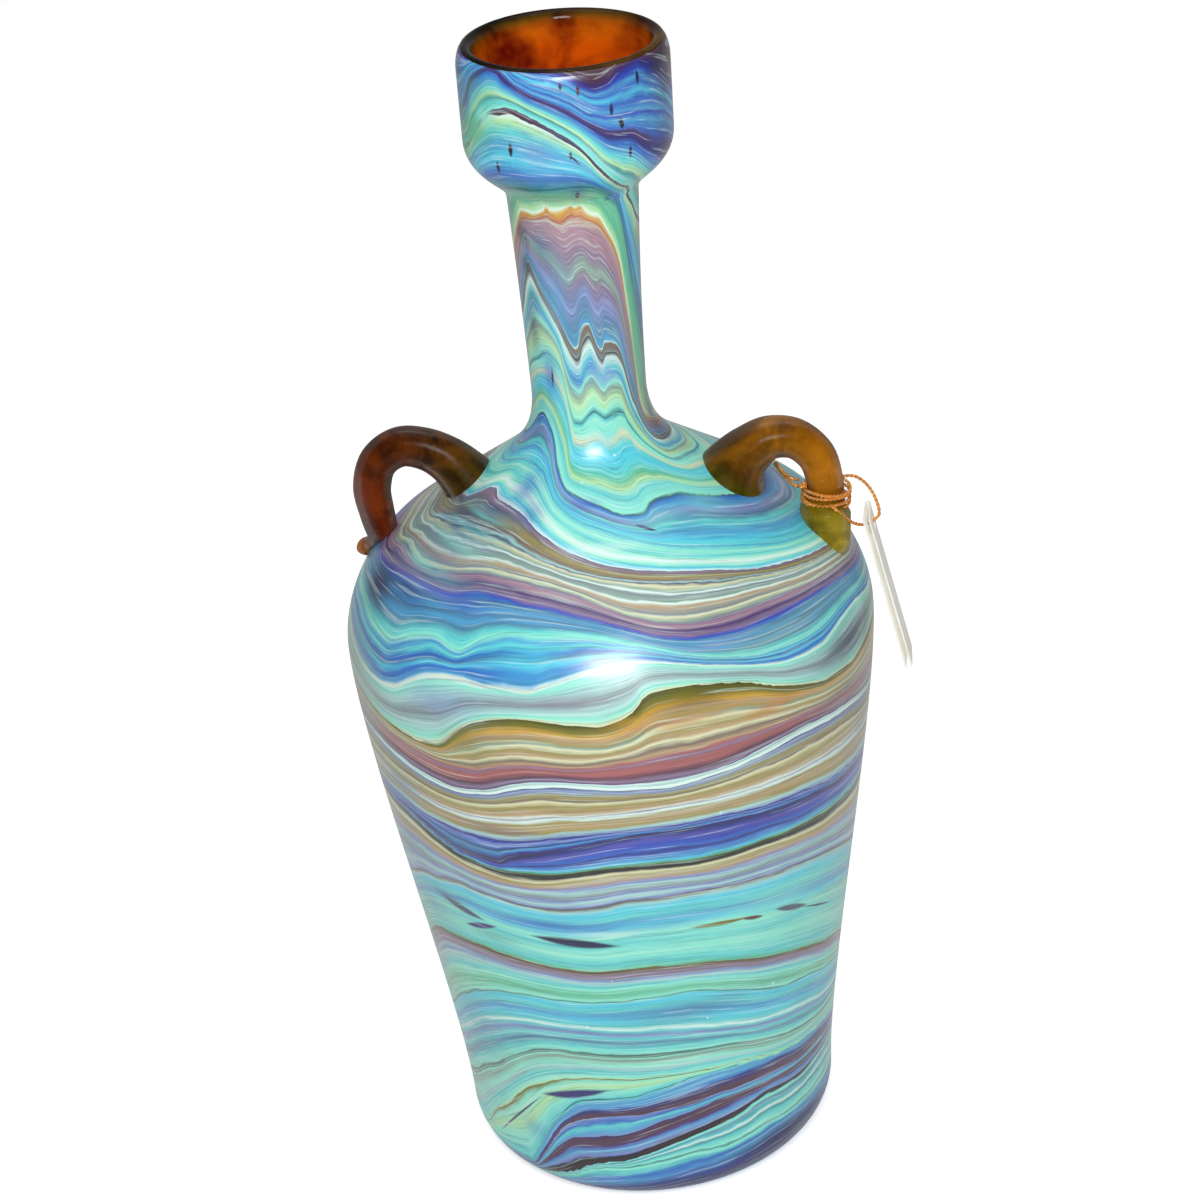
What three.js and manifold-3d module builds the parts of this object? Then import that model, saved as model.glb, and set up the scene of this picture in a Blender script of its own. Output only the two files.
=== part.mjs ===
// Hand blown bottle vase of marbled glass over an amber bubble, with two small amber handles on the
// shoulder and a card tag hung from one of them on a metallic thread.
// Millimetres, +Z up, standing on z = 0 with its axis on Z and the handles along X.

import * as THREE from 'three';
import { mergeVertices } from 'three/addons/utils/BufferGeometryUtils.js';
import Module from 'manifold-3d';

const wasm = await Module();
wasm.setup();

// ---------- driving dimensions ----------

// Body, from the foot up
const FOOT_RADIUS = 30.7;
const HEEL_WIDTH = 11.2; // how far the rounded heel swells past the foot
const HEEL_HEIGHT = 11;
const BODY_RADIUS = 57.3;
const BODY_HEIGHT = 130; // foot to the widest ring
const ROLL_WIDTH = 11.6; // rounded turn from the wall onto the shoulder
const ROLL_HEIGHT = 22.2;
const SHOULDER_RISE = 15.6; // straight slope of the shoulder
const NECK_ROOT_RADIUS = 22.2; // where the slope starts to turn up into the neck
const NECK_ROOT_RISE = 16.4;
const NECK_RADIUS = 12.1;
const NECK_LENGTH = 44;
const NECK_FLARE = 1.5; // the neck is this much wider under the cup
const CUP_RADIUS = 21.6;
const CUP_UNDERSIDE = 12; // height of the turn from neck to cup wall
const CUP_WALL_HEIGHT = 15.2;
const LIP_HEIGHT = 4.6; // rounded edge above the straight cup wall
const LIP_WALL = 4; // glass thickness at the mouth

// Glass layers, measured inwards from the outline
const CASING_WALL = 0.9; // marbled skin
const GLASS_GAP = 0.3; // clearance between fused layers and between glass and glass
const CORE_WALL = 2.8; // amber bubble
const LIP_BEAD = 1.6; // bare amber left showing at the rim
const FLOOR_THICKNESS = 9;
const FOOT_RING_WIDTH = 8; // flat ground ring that the vase stands on
const PUSH_UP = 3; // hollow under the foot
const FOOT_LIFT = 0.5; // the skin stops this far above the ground ring

// The neck leans a little towards +X, as hand work does
const NECK_LEAN = 1.1;

// Handles: an amber cane drawn over the shoulder in a bow. The centreline's ends lie on the shoulder.
const CANE_RADIUS = 4.1;
const RIGHT_RISE = 13.4; // how far the bow stands off the shoulder
const LEFT_RISE = 14.1;
const UPPER_FOOT = 0.73; // share of the way up the shoulder's straight slope
const LOWER_FOOT_WIDTH = 3.9; // lower foot, out from the top of the rounded turn
const LOWER_FOOT_DROP = 2.9; // and down from it

// Stations of each cane: share of the way between its feet, share of its rise, and how many times the
// cane's radius it is there. The right one spreads into a pad at both ends, and the left one is drawn
// out into a small tail with a knob.
const RIGHT_STATIONS = [
  [0.08, -0.22, 1.9],
  [0.07, 0.35, 1.68],
  [0.15, 0.77, 1.34],
  [0.33, 1, 1.1],
  [0.55, 0.925, 1],
  [0.73, 0.615, 1],
  [0.865, 0.205, 1.1],
  [1.07, -0.2, 1.27],
];
const LEFT_STATIONS = [
  [0.05, -0.2, 1.56],
  [0.055, 0.3, 1.37],
  [0.125, 0.71, 1.17],
  [0.28, 0.99, 1.05],
  [0.5, 1, 1],
  [0.69, 0.73, 1],
  [0.82, 0.38, 0.95],
  [0.99, 0.105, 0.8],
  [1.16, -0.07, 0.6],
  [1.31, -0.18, 0.4],
  [1.39, -0.235, 0.46],
];

// Thread and tag
const THREAD_RADIUS = 0.4;
const THREAD_GAP = 0.3;
const HITCH_PLACE = 0.775; // share of the way along the right cane
const HITCH_SPACING = 2.3; // between the two turns round the cane
const KNOT_RADIUS = 1.1;
const KNOT_STAND = 0.7; // clear of the turns, because the limb bends towards it above them
const KNOT_TURN = THREE.MathUtils.degToRad(-143); // place round the limb, from its outer side towards +Y
const KNOT_LIFT = 3.25; // up the limb from the middle of the hitch
const TAG_LENGTH = 36;
const TAG_WIDTH = 10;
const TAG_CARD = 0.35; // thickness of one leaf
const TAG_FOLD = 0.4; // gap between the leaves at the fold
const TAG_OPENING = 0.9; // gap between their free edges
const TAG_HOLE_RADIUS = 1.5;
const TAG_HOLE_FROM_TOP = 3.2;
const TAG_HANG = 0.6; // middle of the hole below the thread in it
const TAG_LEAN = THREE.MathUtils.degToRad(12);

// Free loop of thread, from the back of the hitch out through the tag's hole and back to the front.
// Offsets from the middle of the hitch: out from the limb, along +Y, and up the limb. The hole is at the
// seventh point.
const LOOP_ROUTE = [
  [1.2, 5.95, 0.1],
  [3.4, 6.05, 1.2],
  [5.95, 5.4, 1.65],
  [8.6, 4.1, 0.4],
  [10.75, 2.2, -2.35],
  [11.4, 0.8, -4.9],
  [9.75, 0, -6.25],
  [8.15, -0.8, -6.6],
  [6.15, -2.6, -5.45],
  [4.55, -4.6, -3.4],
  [2.95, -5.8, -1.45],
  [1.2, -5.95, 0.1],
];
const LOOP_HOLE = 6;

// The two ends of the thread, from the knot back under the bow, as the same offsets.
const END_ROUTES = [
  [[-6, -2.4, 3.85], [-7.75, -0.6, 3.5], [-9.6, 1.8, 3.85], [-11.05, 4.6, 4.4]],
  [[-5.95, -2.6, 2.35], [-7.75, -0.2, 2.3], [-9.7, 2.6, 3], [-11.3, 5.6, 3.6]],
];
const ROUTE_CANE_RADIUS = 4.1; // the routes are drawn round a cane of this radius
const ROUTE_HITCH_RADIUS = 5.046; // and outside turns of this radius

// Facets
const LATHE_SEGMENTS = 40;
const CANE_SIDES = 16;
const CANE_STEPS = 22;
const THREAD_SIDES = 8;

// ---------- heights that follow from the sizes ----------

const ROLL_TOP = BODY_HEIGHT + ROLL_HEIGHT;
const SLOPE_TOP = ROLL_TOP + SHOULDER_RISE;
const NECK_BOTTOM = SLOPE_TOP + NECK_ROOT_RISE;
const NECK_TOP = NECK_BOTTOM + NECK_LENGTH;
const CUP_WALL_BOTTOM = NECK_TOP + CUP_UNDERSIDE;
const CUP_WALL_TOP = CUP_WALL_BOTTOM + CUP_WALL_HEIGHT;
const HEIGHT = CUP_WALL_TOP + LIP_HEIGHT;
const GLASS_WALL = CASING_WALL + GLASS_GAP + CORE_WALL;
const NECK_TOP_RADIUS = NECK_RADIUS + NECK_FLARE;
const ROLL_RADIUS = BODY_RADIUS - ROLL_WIDTH;

// ---------- profile of the body ----------

const at = (radius, height) => new THREE.Vector2(radius, height);

// Outside of the glass from the foot to the start of the lip, as points of radius and height.
function bodyOutline() {
  const wallFoot = at(FOOT_RADIUS + HEEL_WIDTH, HEEL_HEIGHT);
  const widest = at(BODY_RADIUS, BODY_HEIGHT);
  const rollEnd = at(ROLL_RADIUS, ROLL_TOP);
  const slopeEnd = at(NECK_ROOT_RADIUS, SLOPE_TOP);
  const neckFoot = at(NECK_RADIUS, NECK_BOTTOM);
  const neckHead = at(NECK_TOP_RADIUS, NECK_TOP);
  const cupFoot = at(CUP_RADIUS - 0.1, CUP_WALL_BOTTOM);
  const cupHead = at(CUP_RADIUS, CUP_WALL_TOP);
  const slope = slopeEnd.clone().sub(rollEnd);
  const heel = new THREE.EllipseCurve(
    FOOT_RADIUS, HEEL_HEIGHT, HEEL_WIDTH, HEEL_HEIGHT, -Math.PI / 2, 0, false);
  const wall = new THREE.CubicBezierCurve(
    wallFoot,
    at(wallFoot.x + 0.8, HEEL_HEIGHT + 0.2 * BODY_HEIGHT),
    at(BODY_RADIUS, BODY_HEIGHT - 0.18 * BODY_HEIGHT),
    widest);
  const roll = new THREE.CubicBezierCurve(
    widest,
    at(BODY_RADIUS, BODY_HEIGHT + 0.43 * ROLL_HEIGHT),
    rollEnd.clone().addScaledVector(slope, -0.2),
    rollEnd);
  const root = new THREE.CubicBezierCurve(
    slopeEnd,
    slopeEnd.clone().addScaledVector(slope, 0.26),
    at(NECK_RADIUS + 0.2, SLOPE_TOP + 0.45 * NECK_ROOT_RISE),
    neckFoot);
  const neck = new THREE.QuadraticBezierCurve(
    neckFoot, at(NECK_RADIUS + 0.3, NECK_BOTTOM + NECK_LENGTH / 2), neckHead);
  const underside = new THREE.CubicBezierCurve(
    neckHead,
    at(NECK_TOP_RADIUS + 0.3, NECK_TOP + 0.3 * CUP_UNDERSIDE),
    at(CUP_RADIUS - 0.4, NECK_TOP + 0.42 * CUP_UNDERSIDE),
    cupFoot);
  return [
    ...heel.getPoints(4),
    ...wall.getPoints(3).slice(1),
    ...roll.getPoints(4).slice(1),
    ...root.getPoints(4),
    ...neck.getPoints(2).slice(1),
    ...underside.getPoints(4).slice(1),
    cupHead,
  ];
}

// Quarter-round outer edge of the lip, from the cup wall to its crest.
function lipOutline() {
  const crest = LIP_WALL / 2;
  const edge = new THREE.EllipseCurve(
    CUP_RADIUS - crest, CUP_WALL_TOP, crest, LIP_HEIGHT, 0, Math.PI / 2, false);
  return edge.getPoints(4).slice(1);
}

// Distance from a point to a polyline.
function distanceTo(point, line) {
  let nearest = Infinity;
  for (let i = 1; i < line.length; i += 1) {
    const run = line[i].clone().sub(line[i - 1]);
    const share = point.clone().sub(line[i - 1]).dot(run) / run.lengthSq();
    const foot = line[i - 1].clone().addScaledVector(run, THREE.MathUtils.clamp(share, 0, 1));
    nearest = Math.min(nearest, foot.distanceTo(point));
  }
  return nearest;
}

// The outline moved towards the axis by depth, or outwards where depth is negative. Each corner goes
// where the two moved edges meet, and corners that a tight turn would fold over are left out.
function inset(line, depth) {
  const normals = line.slice(1).map((point, i) => {
    const run = point.clone().sub(line[i]).normalize();
    return at(-run.y, run.x);
  });
  const moved = line.map((point, i) => {
    const before = normals[Math.max(i - 1, 0)];
    const after = normals[Math.min(i, normals.length - 1)];
    const between = before.clone().add(after).normalize();
    return point.clone().addScaledVector(between, depth / between.dot(before));
  });
  const reach = Math.abs(depth) * 0.97;
  return moved.filter((point) => point.x > 0 && distanceTo(point, line) > reach);
}

// ---------- solids ----------

// Shared corners joined and collapsed triangles dropped, so that the surface is one closed skin.
function closed(geometry) {
  const bare = geometry.clone();
  bare.deleteAttribute('normal');
  bare.deleteAttribute('uv');
  const merged = mergeVertices(bare, 1e-4);
  const corners = merged.index.array;
  const kept = [];
  for (let i = 0; i < corners.length; i += 3) {
    const [a, b, c] = corners.slice(i, i + 3);
    if (a !== b && b !== c && c !== a) {
      kept.push(a, b, c);
    }
  }
  merged.setIndex(kept);
  return merged;
}

function toSolid(geometry) {
  const skin = closed(geometry);
  return new wasm.Manifold(new wasm.Mesh({
    numProp: 3,
    vertProperties: new Float32Array(skin.attributes.position.array),
    triVerts: new Uint32Array(skin.index.array),
  }));
}

function toGeometry(solid) {
  const mesh = solid.getMesh();
  const geometry = new THREE.BufferGeometry();
  geometry.setAttribute('position', new THREE.BufferAttribute(new Float32Array(mesh.vertProperties), 3));
  geometry.setIndex(new THREE.BufferAttribute(new Uint32Array(mesh.triVerts), 1));
  return geometry;
}

// A profile turned round the Z axis.
function turned(profile) {
  const geometry = new THREE.LatheGeometry(profile, LATHE_SEGMENTS);
  geometry.rotateX(Math.PI / 2);
  return closed(geometry);
}

// Bends everything above the shoulder slope towards +X, most at the rim.
function leaned(geometry) {
  const place = geometry.attributes.position;
  const bent = HEIGHT - SLOPE_TOP;
  for (let i = 0; i < place.count; i += 1) {
    const share = Math.max(0, (place.getZ(i) - SLOPE_TOP) / bent);
    const x = place.getX(i);
    place.setX(i, x + NECK_LEAN * share * share);
    place.setZ(i, place.getZ(i) - x * (2 * NECK_LEAN * share) / bent);
  }
  return geometry;
}

// Marbled skin: it covers the bubble from the heel to just under the rim.
function casingGeometry() {
  const rimLimit = HEIGHT - LIP_BEAD;
  const line = [...bodyOutline(), ...lipOutline().filter((point) => point.y < rimLimit)];
  const outside = line.filter((point) => point.y > FOOT_LIFT);
  outside.unshift(at(outside[0].x - HEEL_WIDTH * 0.2, FOOT_LIFT));
  const inside = inset(outside, CASING_WALL);
  inside[0].y = FOOT_LIFT + 0.4 * CASING_WALL;
  return leaned(turned([...outside, ...inside.reverse(), outside[0].clone()]));
}

// Amber bubble: solid floor with a ground foot ring, wall inside the skin, and the bare rim.
function coreGeometry() {
  const line = [...bodyOutline(), ...lipOutline()];
  const rimLimit = HEIGHT - LIP_BEAD + GLASS_GAP;
  const skinDepth = CASING_WALL + GLASS_GAP;
  const outside = inset(line, skinDepth).filter((point) => point.y < rimLimit);
  const rimFoot = lipOutline().find((point) => point.y >= rimLimit);
  const bead = lipOutline().filter((point) => point.y >= rimLimit);
  const ringOuter = outside[0].x - GLASS_GAP;
  const ringInner = ringOuter - FOOT_RING_WIDTH;
  const shelf = [at(outside.at(-1).x, rimLimit - 0.1), at(rimFoot.x + 0.15, rimLimit)];
  const mouth = at(CUP_RADIUS - LIP_WALL, HEIGHT - LIP_WALL / 2);
  const inside = inset(line, GLASS_WALL)
    .filter((point) => point.y > FLOOR_THICKNESS + 1 && point.y < CUP_WALL_TOP)
    .reverse();
  const floorEdge = inside.at(-1).x;
  return leaned(turned([
    at(0, PUSH_UP),
    at(ringInner * 0.6, PUSH_UP * 0.75),
    at(ringInner, 0),
    at(ringOuter, 0),
    ...outside,
    ...shelf,
    ...bead,
    mouth,
    ...inside,
    at(floorEdge - 3, FLOOR_THICKNESS + 1),
    at(floorEdge * 0.6, FLOOR_THICKNESS),
    at(0, FLOOR_THICKNESS - 1),
  ]));
}

// Everything that the skin takes up, with the clearance round it: handles are cut back to this.
function bodySpace() {
  const grown = inset(bodyOutline(), -GLASS_GAP);
  return toSolid(turned([at(0, grown[0].y), ...grown, at(0, grown.at(-1).y)]));
}

// A round cane along a smooth line in the XZ plane. Each station gives x, z and the cane's radius.
// The straight bar has one ring of corners for each step, and each ring is carried to its place.
function caneGeometry(stations) {
  const path = new THREE.CatmullRomCurve3(
    stations.map(([x, z]) => new THREE.Vector3(x, 0, z)), false, 'centripetal');
  const girth = new THREE.CatmullRomCurve3(
    stations.map(([, , radius]) => new THREE.Vector3(radius, 0, 0)), false, 'centripetal');
  const circle = new THREE.Shape();
  circle.absarc(0, 0, 1, 0, 2 * Math.PI, false);
  const bar = new THREE.ExtrudeGeometry(circle, {
    depth: 1, steps: CANE_STEPS, curveSegments: CANE_SIDES / 2, bevelEnabled: false,
  });
  const place = bar.attributes.position;
  const side = new THREE.Vector3(0, 1, 0);
  const corner = new THREE.Vector3();
  for (let i = 0; i < place.count; i += 1) {
    const share = THREE.MathUtils.clamp(place.getZ(i), 0, 1);
    const along = path.getTangent(share);
    const out = new THREE.Vector3().crossVectors(side, along);
    const radius = girth.getPoint(share).x;
    corner.copy(path.getPoint(share));
    corner.addScaledVector(out, place.getX(i) * radius);
    corner.addScaledVector(side, place.getY(i) * radius);
    place.setXYZ(i, corner.x, corner.y, corner.z);
  }
  return bar;
}

// Centreline stations of a handle in millimetres, as x, z and radius.
function handleStations(shares, rise) {
  const upper = at(
    ROLL_RADIUS + (NECK_ROOT_RADIUS - ROLL_RADIUS) * UPPER_FOOT, ROLL_TOP + SHOULDER_RISE * UPPER_FOOT);
  const lower = at(ROLL_RADIUS + LOWER_FOOT_WIDTH, ROLL_TOP - LOWER_FOOT_DROP);
  const chord = lower.clone().sub(upper);
  const outward = at(-chord.y, chord.x).normalize();
  return shares.map(([along, off, girth]) => {
    const point = upper.clone().addScaledVector(chord, along).addScaledVector(outward, off * rise);
    return [point.x, point.y, girth * CANE_RADIUS];
  });
}

// A handle as it lies on the +X side, with both feet cut back to the body.
function handleGeometry(stations) {
  return toGeometry(toSolid(caneGeometry(stations)).subtract(bodySpace()));
}

// A thread along a line of points.
function threadGeometry(points, steps) {
  const path = new THREE.CatmullRomCurve3(points, false, 'centripetal');
  const circle = new THREE.Shape();
  circle.absarc(0, 0, THREAD_RADIUS, 0, 2 * Math.PI, false);
  return closed(new THREE.ExtrudeGeometry(circle, {
    extrudePath: path, steps, curveSegments: THREAD_SIDES / 2, bevelEnabled: false,
  }));
}

// ---------- the tag's place on the right handle ----------

const rightStations = handleStations(RIGHT_STATIONS, RIGHT_RISE);
const rightPath = new THREE.CatmullRomCurve3(
  rightStations.map(([x, z]) => new THREE.Vector3(x, 0, z)), false, 'centripetal');
const hitchPoint = rightPath.getPoint(HITCH_PLACE);
const hitchRun = rightPath.getTangent(HITCH_PLACE);
const hitchRadius = CANE_RADIUS * 1.06 + THREAD_GAP + THREAD_RADIUS;
const hitchSide = new THREE.Vector3(0, 1, 0);
const hitchOut = new THREE.Vector3().crossVectors(hitchRun, hitchSide);
const holePoint = nearHitch(LOOP_ROUTE[LOOP_HOLE]);

// A point by its offsets out from the limb, along +Y and up the limb.
function offHitch(out, side, up) {
  return hitchPoint.clone()
    .addScaledVector(hitchOut, out)
    .addScaledVector(hitchSide, side)
    .addScaledVector(hitchRun, -up);
}

// A route's point, pushed straight out as far as the turns stand further out than it was drawn for.
function nearHitch([out, side, up]) {
  const push = 1 + (hitchRadius - ROUTE_HITCH_RADIUS) / Math.hypot(out, side);
  return offHitch(out * push, side * push, up);
}

// A thread end's points: pushed out at the knot, and clear of the upper foot at the cut.
function endPoints(route) {
  const footGrowth = RIGHT_STATIONS[1][2] * (CANE_RADIUS - ROUTE_CANE_RADIUS);
  return route.map(([out, side, up], i) => nearHitch([out, side, up])
    .lerp(offHitch(out + footGrowth, side, up), i / (route.length - 1)));
}

// One turn round the cane, this share of the spacing along it from the middle of the hitch.
function turnGeometry(share) {
  const ring = new THREE.TorusGeometry(hitchRadius, THREAD_RADIUS, THREAD_SIDES, 24);
  const turn = new THREE.Quaternion().setFromUnitVectors(new THREE.Vector3(0, 0, 1), hitchRun);
  const middle = hitchPoint.clone().addScaledVector(hitchRun, share * HITCH_SPACING);
  ring.applyQuaternion(turn);
  ring.translate(middle.x, middle.y, middle.z);
  return closed(ring);
}

// Overhand knot on the inner side of the limb, above the turns.
function knotGeometry() {
  const reach = hitchRadius + THREAD_RADIUS + KNOT_STAND;
  const middle = offHitch(reach * Math.cos(KNOT_TURN), reach * Math.sin(KNOT_TURN), KNOT_LIFT);
  const knot = new THREE.SphereGeometry(KNOT_RADIUS, 12, 8);
  knot.translate(middle.x, middle.y, middle.z);
  return closed(knot);
}

function loopGeometry() {
  return threadGeometry(LOOP_ROUTE.map(nearHitch), 28);
}

// Card folded once down its far edge, with a hole through both leaves. It hangs from its hole, so the
// hole's middle is the geometry's origin.
function tagGeometry() {
  const half = TAG_WIDTH / 2;
  const open = TAG_OPENING / 2;
  const fold = TAG_FOLD / 2;
  const card = new THREE.Shape([
    at(-open - TAG_CARD, -half),
    at(-open, -half),
    at(-fold, half - TAG_CARD),
    at(fold, half - TAG_CARD),
    at(open, -half),
    at(open + TAG_CARD, -half),
    at(fold + TAG_CARD, half - TAG_CARD / 2),
    at(fold, half),
    at(-fold, half),
    at(-fold - TAG_CARD, half - TAG_CARD / 2),
  ]);
  const leaves = new THREE.ExtrudeGeometry(card, { depth: TAG_LENGTH, bevelEnabled: false });
  leaves.translate(0, 0, TAG_HOLE_FROM_TOP - TAG_LENGTH);
  const punch = new THREE.CylinderGeometry(TAG_HOLE_RADIUS, TAG_HOLE_RADIUS, 4 * TAG_OPENING, 20);
  punch.rotateZ(Math.PI / 2);
  return toGeometry(toSolid(leaves).subtract(toSolid(punch)));
}

// ---------- the assembly ----------

const amberGlass = new THREE.MeshStandardMaterial({ color: 0x8a3a0c, roughness: 0.15, metalness: 0 });
const marbledGlass = new THREE.MeshStandardMaterial({ color: 0x62b7bd, roughness: 0.3, metalness: 0 });
const redAmberGlass = new THREE.MeshStandardMaterial({ color: 0x6b2509, roughness: 0.3, metalness: 0 });
const goldAmberGlass = new THREE.MeshStandardMaterial({ color: 0x9a5c12, roughness: 0.3, metalness: 0 });
const copperThread = new THREE.MeshStandardMaterial({ color: 0xc8702a, roughness: 0.35, metalness: 0.8 });
const whiteCard = new THREE.MeshStandardMaterial({ color: 0xf3f1e6, roughness: 0.8, metalness: 0 });

const group = new THREE.Group();

function addPiece(name, geometry, material) {
  const piece = new THREE.Mesh(geometry, material);
  piece.name = name;
  group.add(piece);
  return piece;
}

addPiece('amber_core', coreGeometry(), amberGlass);
addPiece('marbled_casing', casingGeometry(), marbledGlass);
addPiece('handle_right', handleGeometry(rightStations), goldAmberGlass);
const left = addPiece(
  'handle_left', handleGeometry(handleStations(LEFT_STATIONS, LEFT_RISE)), redAmberGlass);
left.rotation.z = Math.PI;
addPiece('thread_turn_upper', turnGeometry(-0.5), copperThread);
addPiece('thread_turn_lower', turnGeometry(0.5), copperThread);
addPiece('thread_knot', knotGeometry(), copperThread);
END_ROUTES.forEach((route, i) => {
  addPiece(`thread_end_${i + 1}`, threadGeometry(endPoints(route), 6), copperThread);
});
addPiece('thread_loop', loopGeometry(), copperThread);
const tag = addPiece('hang_tag', tagGeometry(), whiteCard);
tag.position.set(holePoint.x, holePoint.y, holePoint.z - TAG_HANG);
tag.rotation.y = -TAG_LEAN;

export default group;
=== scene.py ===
import bpy
import numpy as np
from mathutils import Matrix, Vector


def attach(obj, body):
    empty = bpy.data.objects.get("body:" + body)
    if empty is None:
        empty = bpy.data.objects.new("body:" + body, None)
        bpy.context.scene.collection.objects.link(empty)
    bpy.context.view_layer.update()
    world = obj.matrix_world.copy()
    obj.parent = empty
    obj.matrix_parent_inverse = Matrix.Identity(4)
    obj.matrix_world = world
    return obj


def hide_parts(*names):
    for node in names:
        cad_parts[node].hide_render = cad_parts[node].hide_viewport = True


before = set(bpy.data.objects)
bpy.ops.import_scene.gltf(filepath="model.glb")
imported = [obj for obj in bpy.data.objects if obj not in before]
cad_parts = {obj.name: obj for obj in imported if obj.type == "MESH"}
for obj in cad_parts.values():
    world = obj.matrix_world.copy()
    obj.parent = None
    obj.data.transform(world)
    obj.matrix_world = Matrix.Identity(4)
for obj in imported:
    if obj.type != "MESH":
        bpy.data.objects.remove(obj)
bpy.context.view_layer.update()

MM = 0.001

# ------------------------------------------------------------------ viewpoint
# A long lens a little above the mouth, turned slightly towards the handle with the tag and rolled
# a few degrees, so that the vase stands a little tilted.
VIEWPOINT = Vector((0.0887, -0.6308, 0.4604))
AIM = Vector((0.0, 0.0, 0.130))
ROLL = np.radians(-5.38)

ahead = (AIM - VIEWPOINT).normalized()
level = ahead.cross(Vector((0, 0, 1))).normalized()
upward = level.cross(ahead)
right = level * np.cos(ROLL) + upward * np.sin(ROLL)
top = upward * np.cos(ROLL) - level * np.sin(ROLL)
lens = bpy.data.cameras.new("viewpoint")
lens.lens = 98.8
lens.sensor_width = 36
lens.shift_x = -0.0084
lens.shift_y = 0.0109
viewpoint = bpy.data.objects.new("viewpoint", lens)
viewpoint.matrix_world = Matrix.Translation(VIEWPOINT) @ Matrix((right, top, -ahead)).transposed().to_4x4()
bpy.context.scene.collection.objects.link(viewpoint)
bpy.context.scene.camera = viewpoint

# --------------------------------------------------------- free loop of thread
# Metallised gift-tag thread: two foil-wrapped plies laid together, 0.8 mm across. It leaves the back
# of the hitch on the right handle, passes through the tag's hole and comes back to the hitch's front.
HITCH = np.array([48.492, 0, 157.268]) * MM
HITCH_RUN = np.array([-0.0915, 0, -0.9958])
# The hitch's own directions, as rows: out of the limb, along +Y, up the limb.
HITCH_FRAME = np.array([(0.9958, 0, -0.0915), (0, 1, 0), -HITCH_RUN]) * MM
THREAD_RADIUS = 0.4 * MM
PLY_RADIUS = 0.6 * THREAD_RADIUS
PLY_PITCH, PLY_SIDES = 1.9 * MM, 10
LOOP_ROUTE = HITCH + np.array([
    (1.2, 5.95, 0.1), (3.4, 6.05, 1.2), (5.95, 5.4, 1.65), (8.6, 4.1, 0.4), (10.75, 2.2, -2.35),
    (11.4, 0.8, -4.9), (9.75, 0, -6.25), (8.15, -0.8, -6.6), (6.15, -2.6, -5.45), (4.55, -4.6, -3.4),
    (2.95, -5.8, -1.45), (1.2, -5.95, 0.1)]) @ HITCH_FRAME
LOOP_FLAT = np.array([0.61, 0, 0.79])


def eased_line(points, count):
    """Centripetal Catmull-Rom line through the points: each stretch is a cubic whose end slopes come
    from its neighbours, with the knots spaced by the square root of the distances."""
    points = np.asarray(points, float)
    ends = np.vstack([2 * points[0] - points[1], points, 2 * points[-1] - points[-2]])
    at = np.linspace(0, len(points) - 1, count)
    step = np.minimum(at.astype(int), len(points) - 2)
    share = (at - step)[:, None]
    a, b, c, d = (ends[step + k] for k in range(4))
    gap = [np.sqrt(np.linalg.norm(q - p, axis=1))[:, None] for p, q in ((a, b), (b, c), (c, d))]
    leave = ((b - a) / gap[0] - (c - a) / (gap[0] + gap[1]) + (c - b) / gap[1]) * gap[1]
    arrive = ((c - b) / gap[1] - (d - b) / (gap[1] + gap[2]) + (d - c) / gap[2]) * gap[1]
    return (b + leave * share + (3 * (c - b) - 2 * leave - arrive) * share**2
            + (2 * (b - c) + leave + arrive) * share**3)


def ringed_skin(name, rings, closed=False):
    """Skin over rings of points, shaped (along, round, 3). Neighbouring rings are joined by quads, and
    the last to the first if closed; open ends are closed by a fan to their middle. The UV map runs
    round the ring in u and along it in v, both from 0 to 1."""
    along, round_, _ = rings.shape
    spots = rings.reshape(-1, 3)
    i, j = np.meshgrid(np.arange(along if closed else along - 1), np.arange(round_), indexing="ij")
    after, beside = (i + 1) % along, (j + 1) % round_
    quads = np.stack([i * round_ + j, i * round_ + beside, after * round_ + beside, after * round_ + j], -1)
    u = np.stack([j, j + 1, j + 1, j], -1) / round_
    v = np.stack([i, i, i + 1, i + 1], -1) / (along - (0 if closed else 1))
    loose = [quads.reshape(-1, 4)]
    loose_maps = [np.stack([u, v], -1).reshape(-1, 4, 2)]
    if not closed:
        spots = np.vstack([spots, rings[0].mean(0), rings[-1].mean(0)])
        k = np.arange(round_)
        n = (k + 1) % round_
        foot = along * round_
        last = foot - round_
        loose += [np.stack([foot + 0 * k, n, k], -1), np.stack([foot + 1 + 0 * k, last + k, last + n], -1)]
        for end, v_end in ((1, 0), (0, 1)):
            us = ((k + 0.5) / round_, (k + end) / round_, (k + 1 - end) / round_)
            loose_maps.append(np.stack([np.stack([u, 0 * k + v_end], -1) for u in us], 1))
    mesh = bpy.data.meshes.new(name)
    mesh.from_pydata(spots.tolist(), [], [face for part in loose for face in part.tolist()])
    layer = mesh.uv_layers.new(name="laid")
    layer.data.foreach_set("uv", np.concatenate([m.reshape(-1) for m in loose_maps]).astype(np.float32))
    mesh.polygons.foreach_set("use_smooth", np.ones(len(mesh.polygons), bool))
    mesh.update()
    piece = bpy.data.objects.new(name, mesh)
    bpy.context.scene.collection.objects.link(piece)
    return piece


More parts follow.
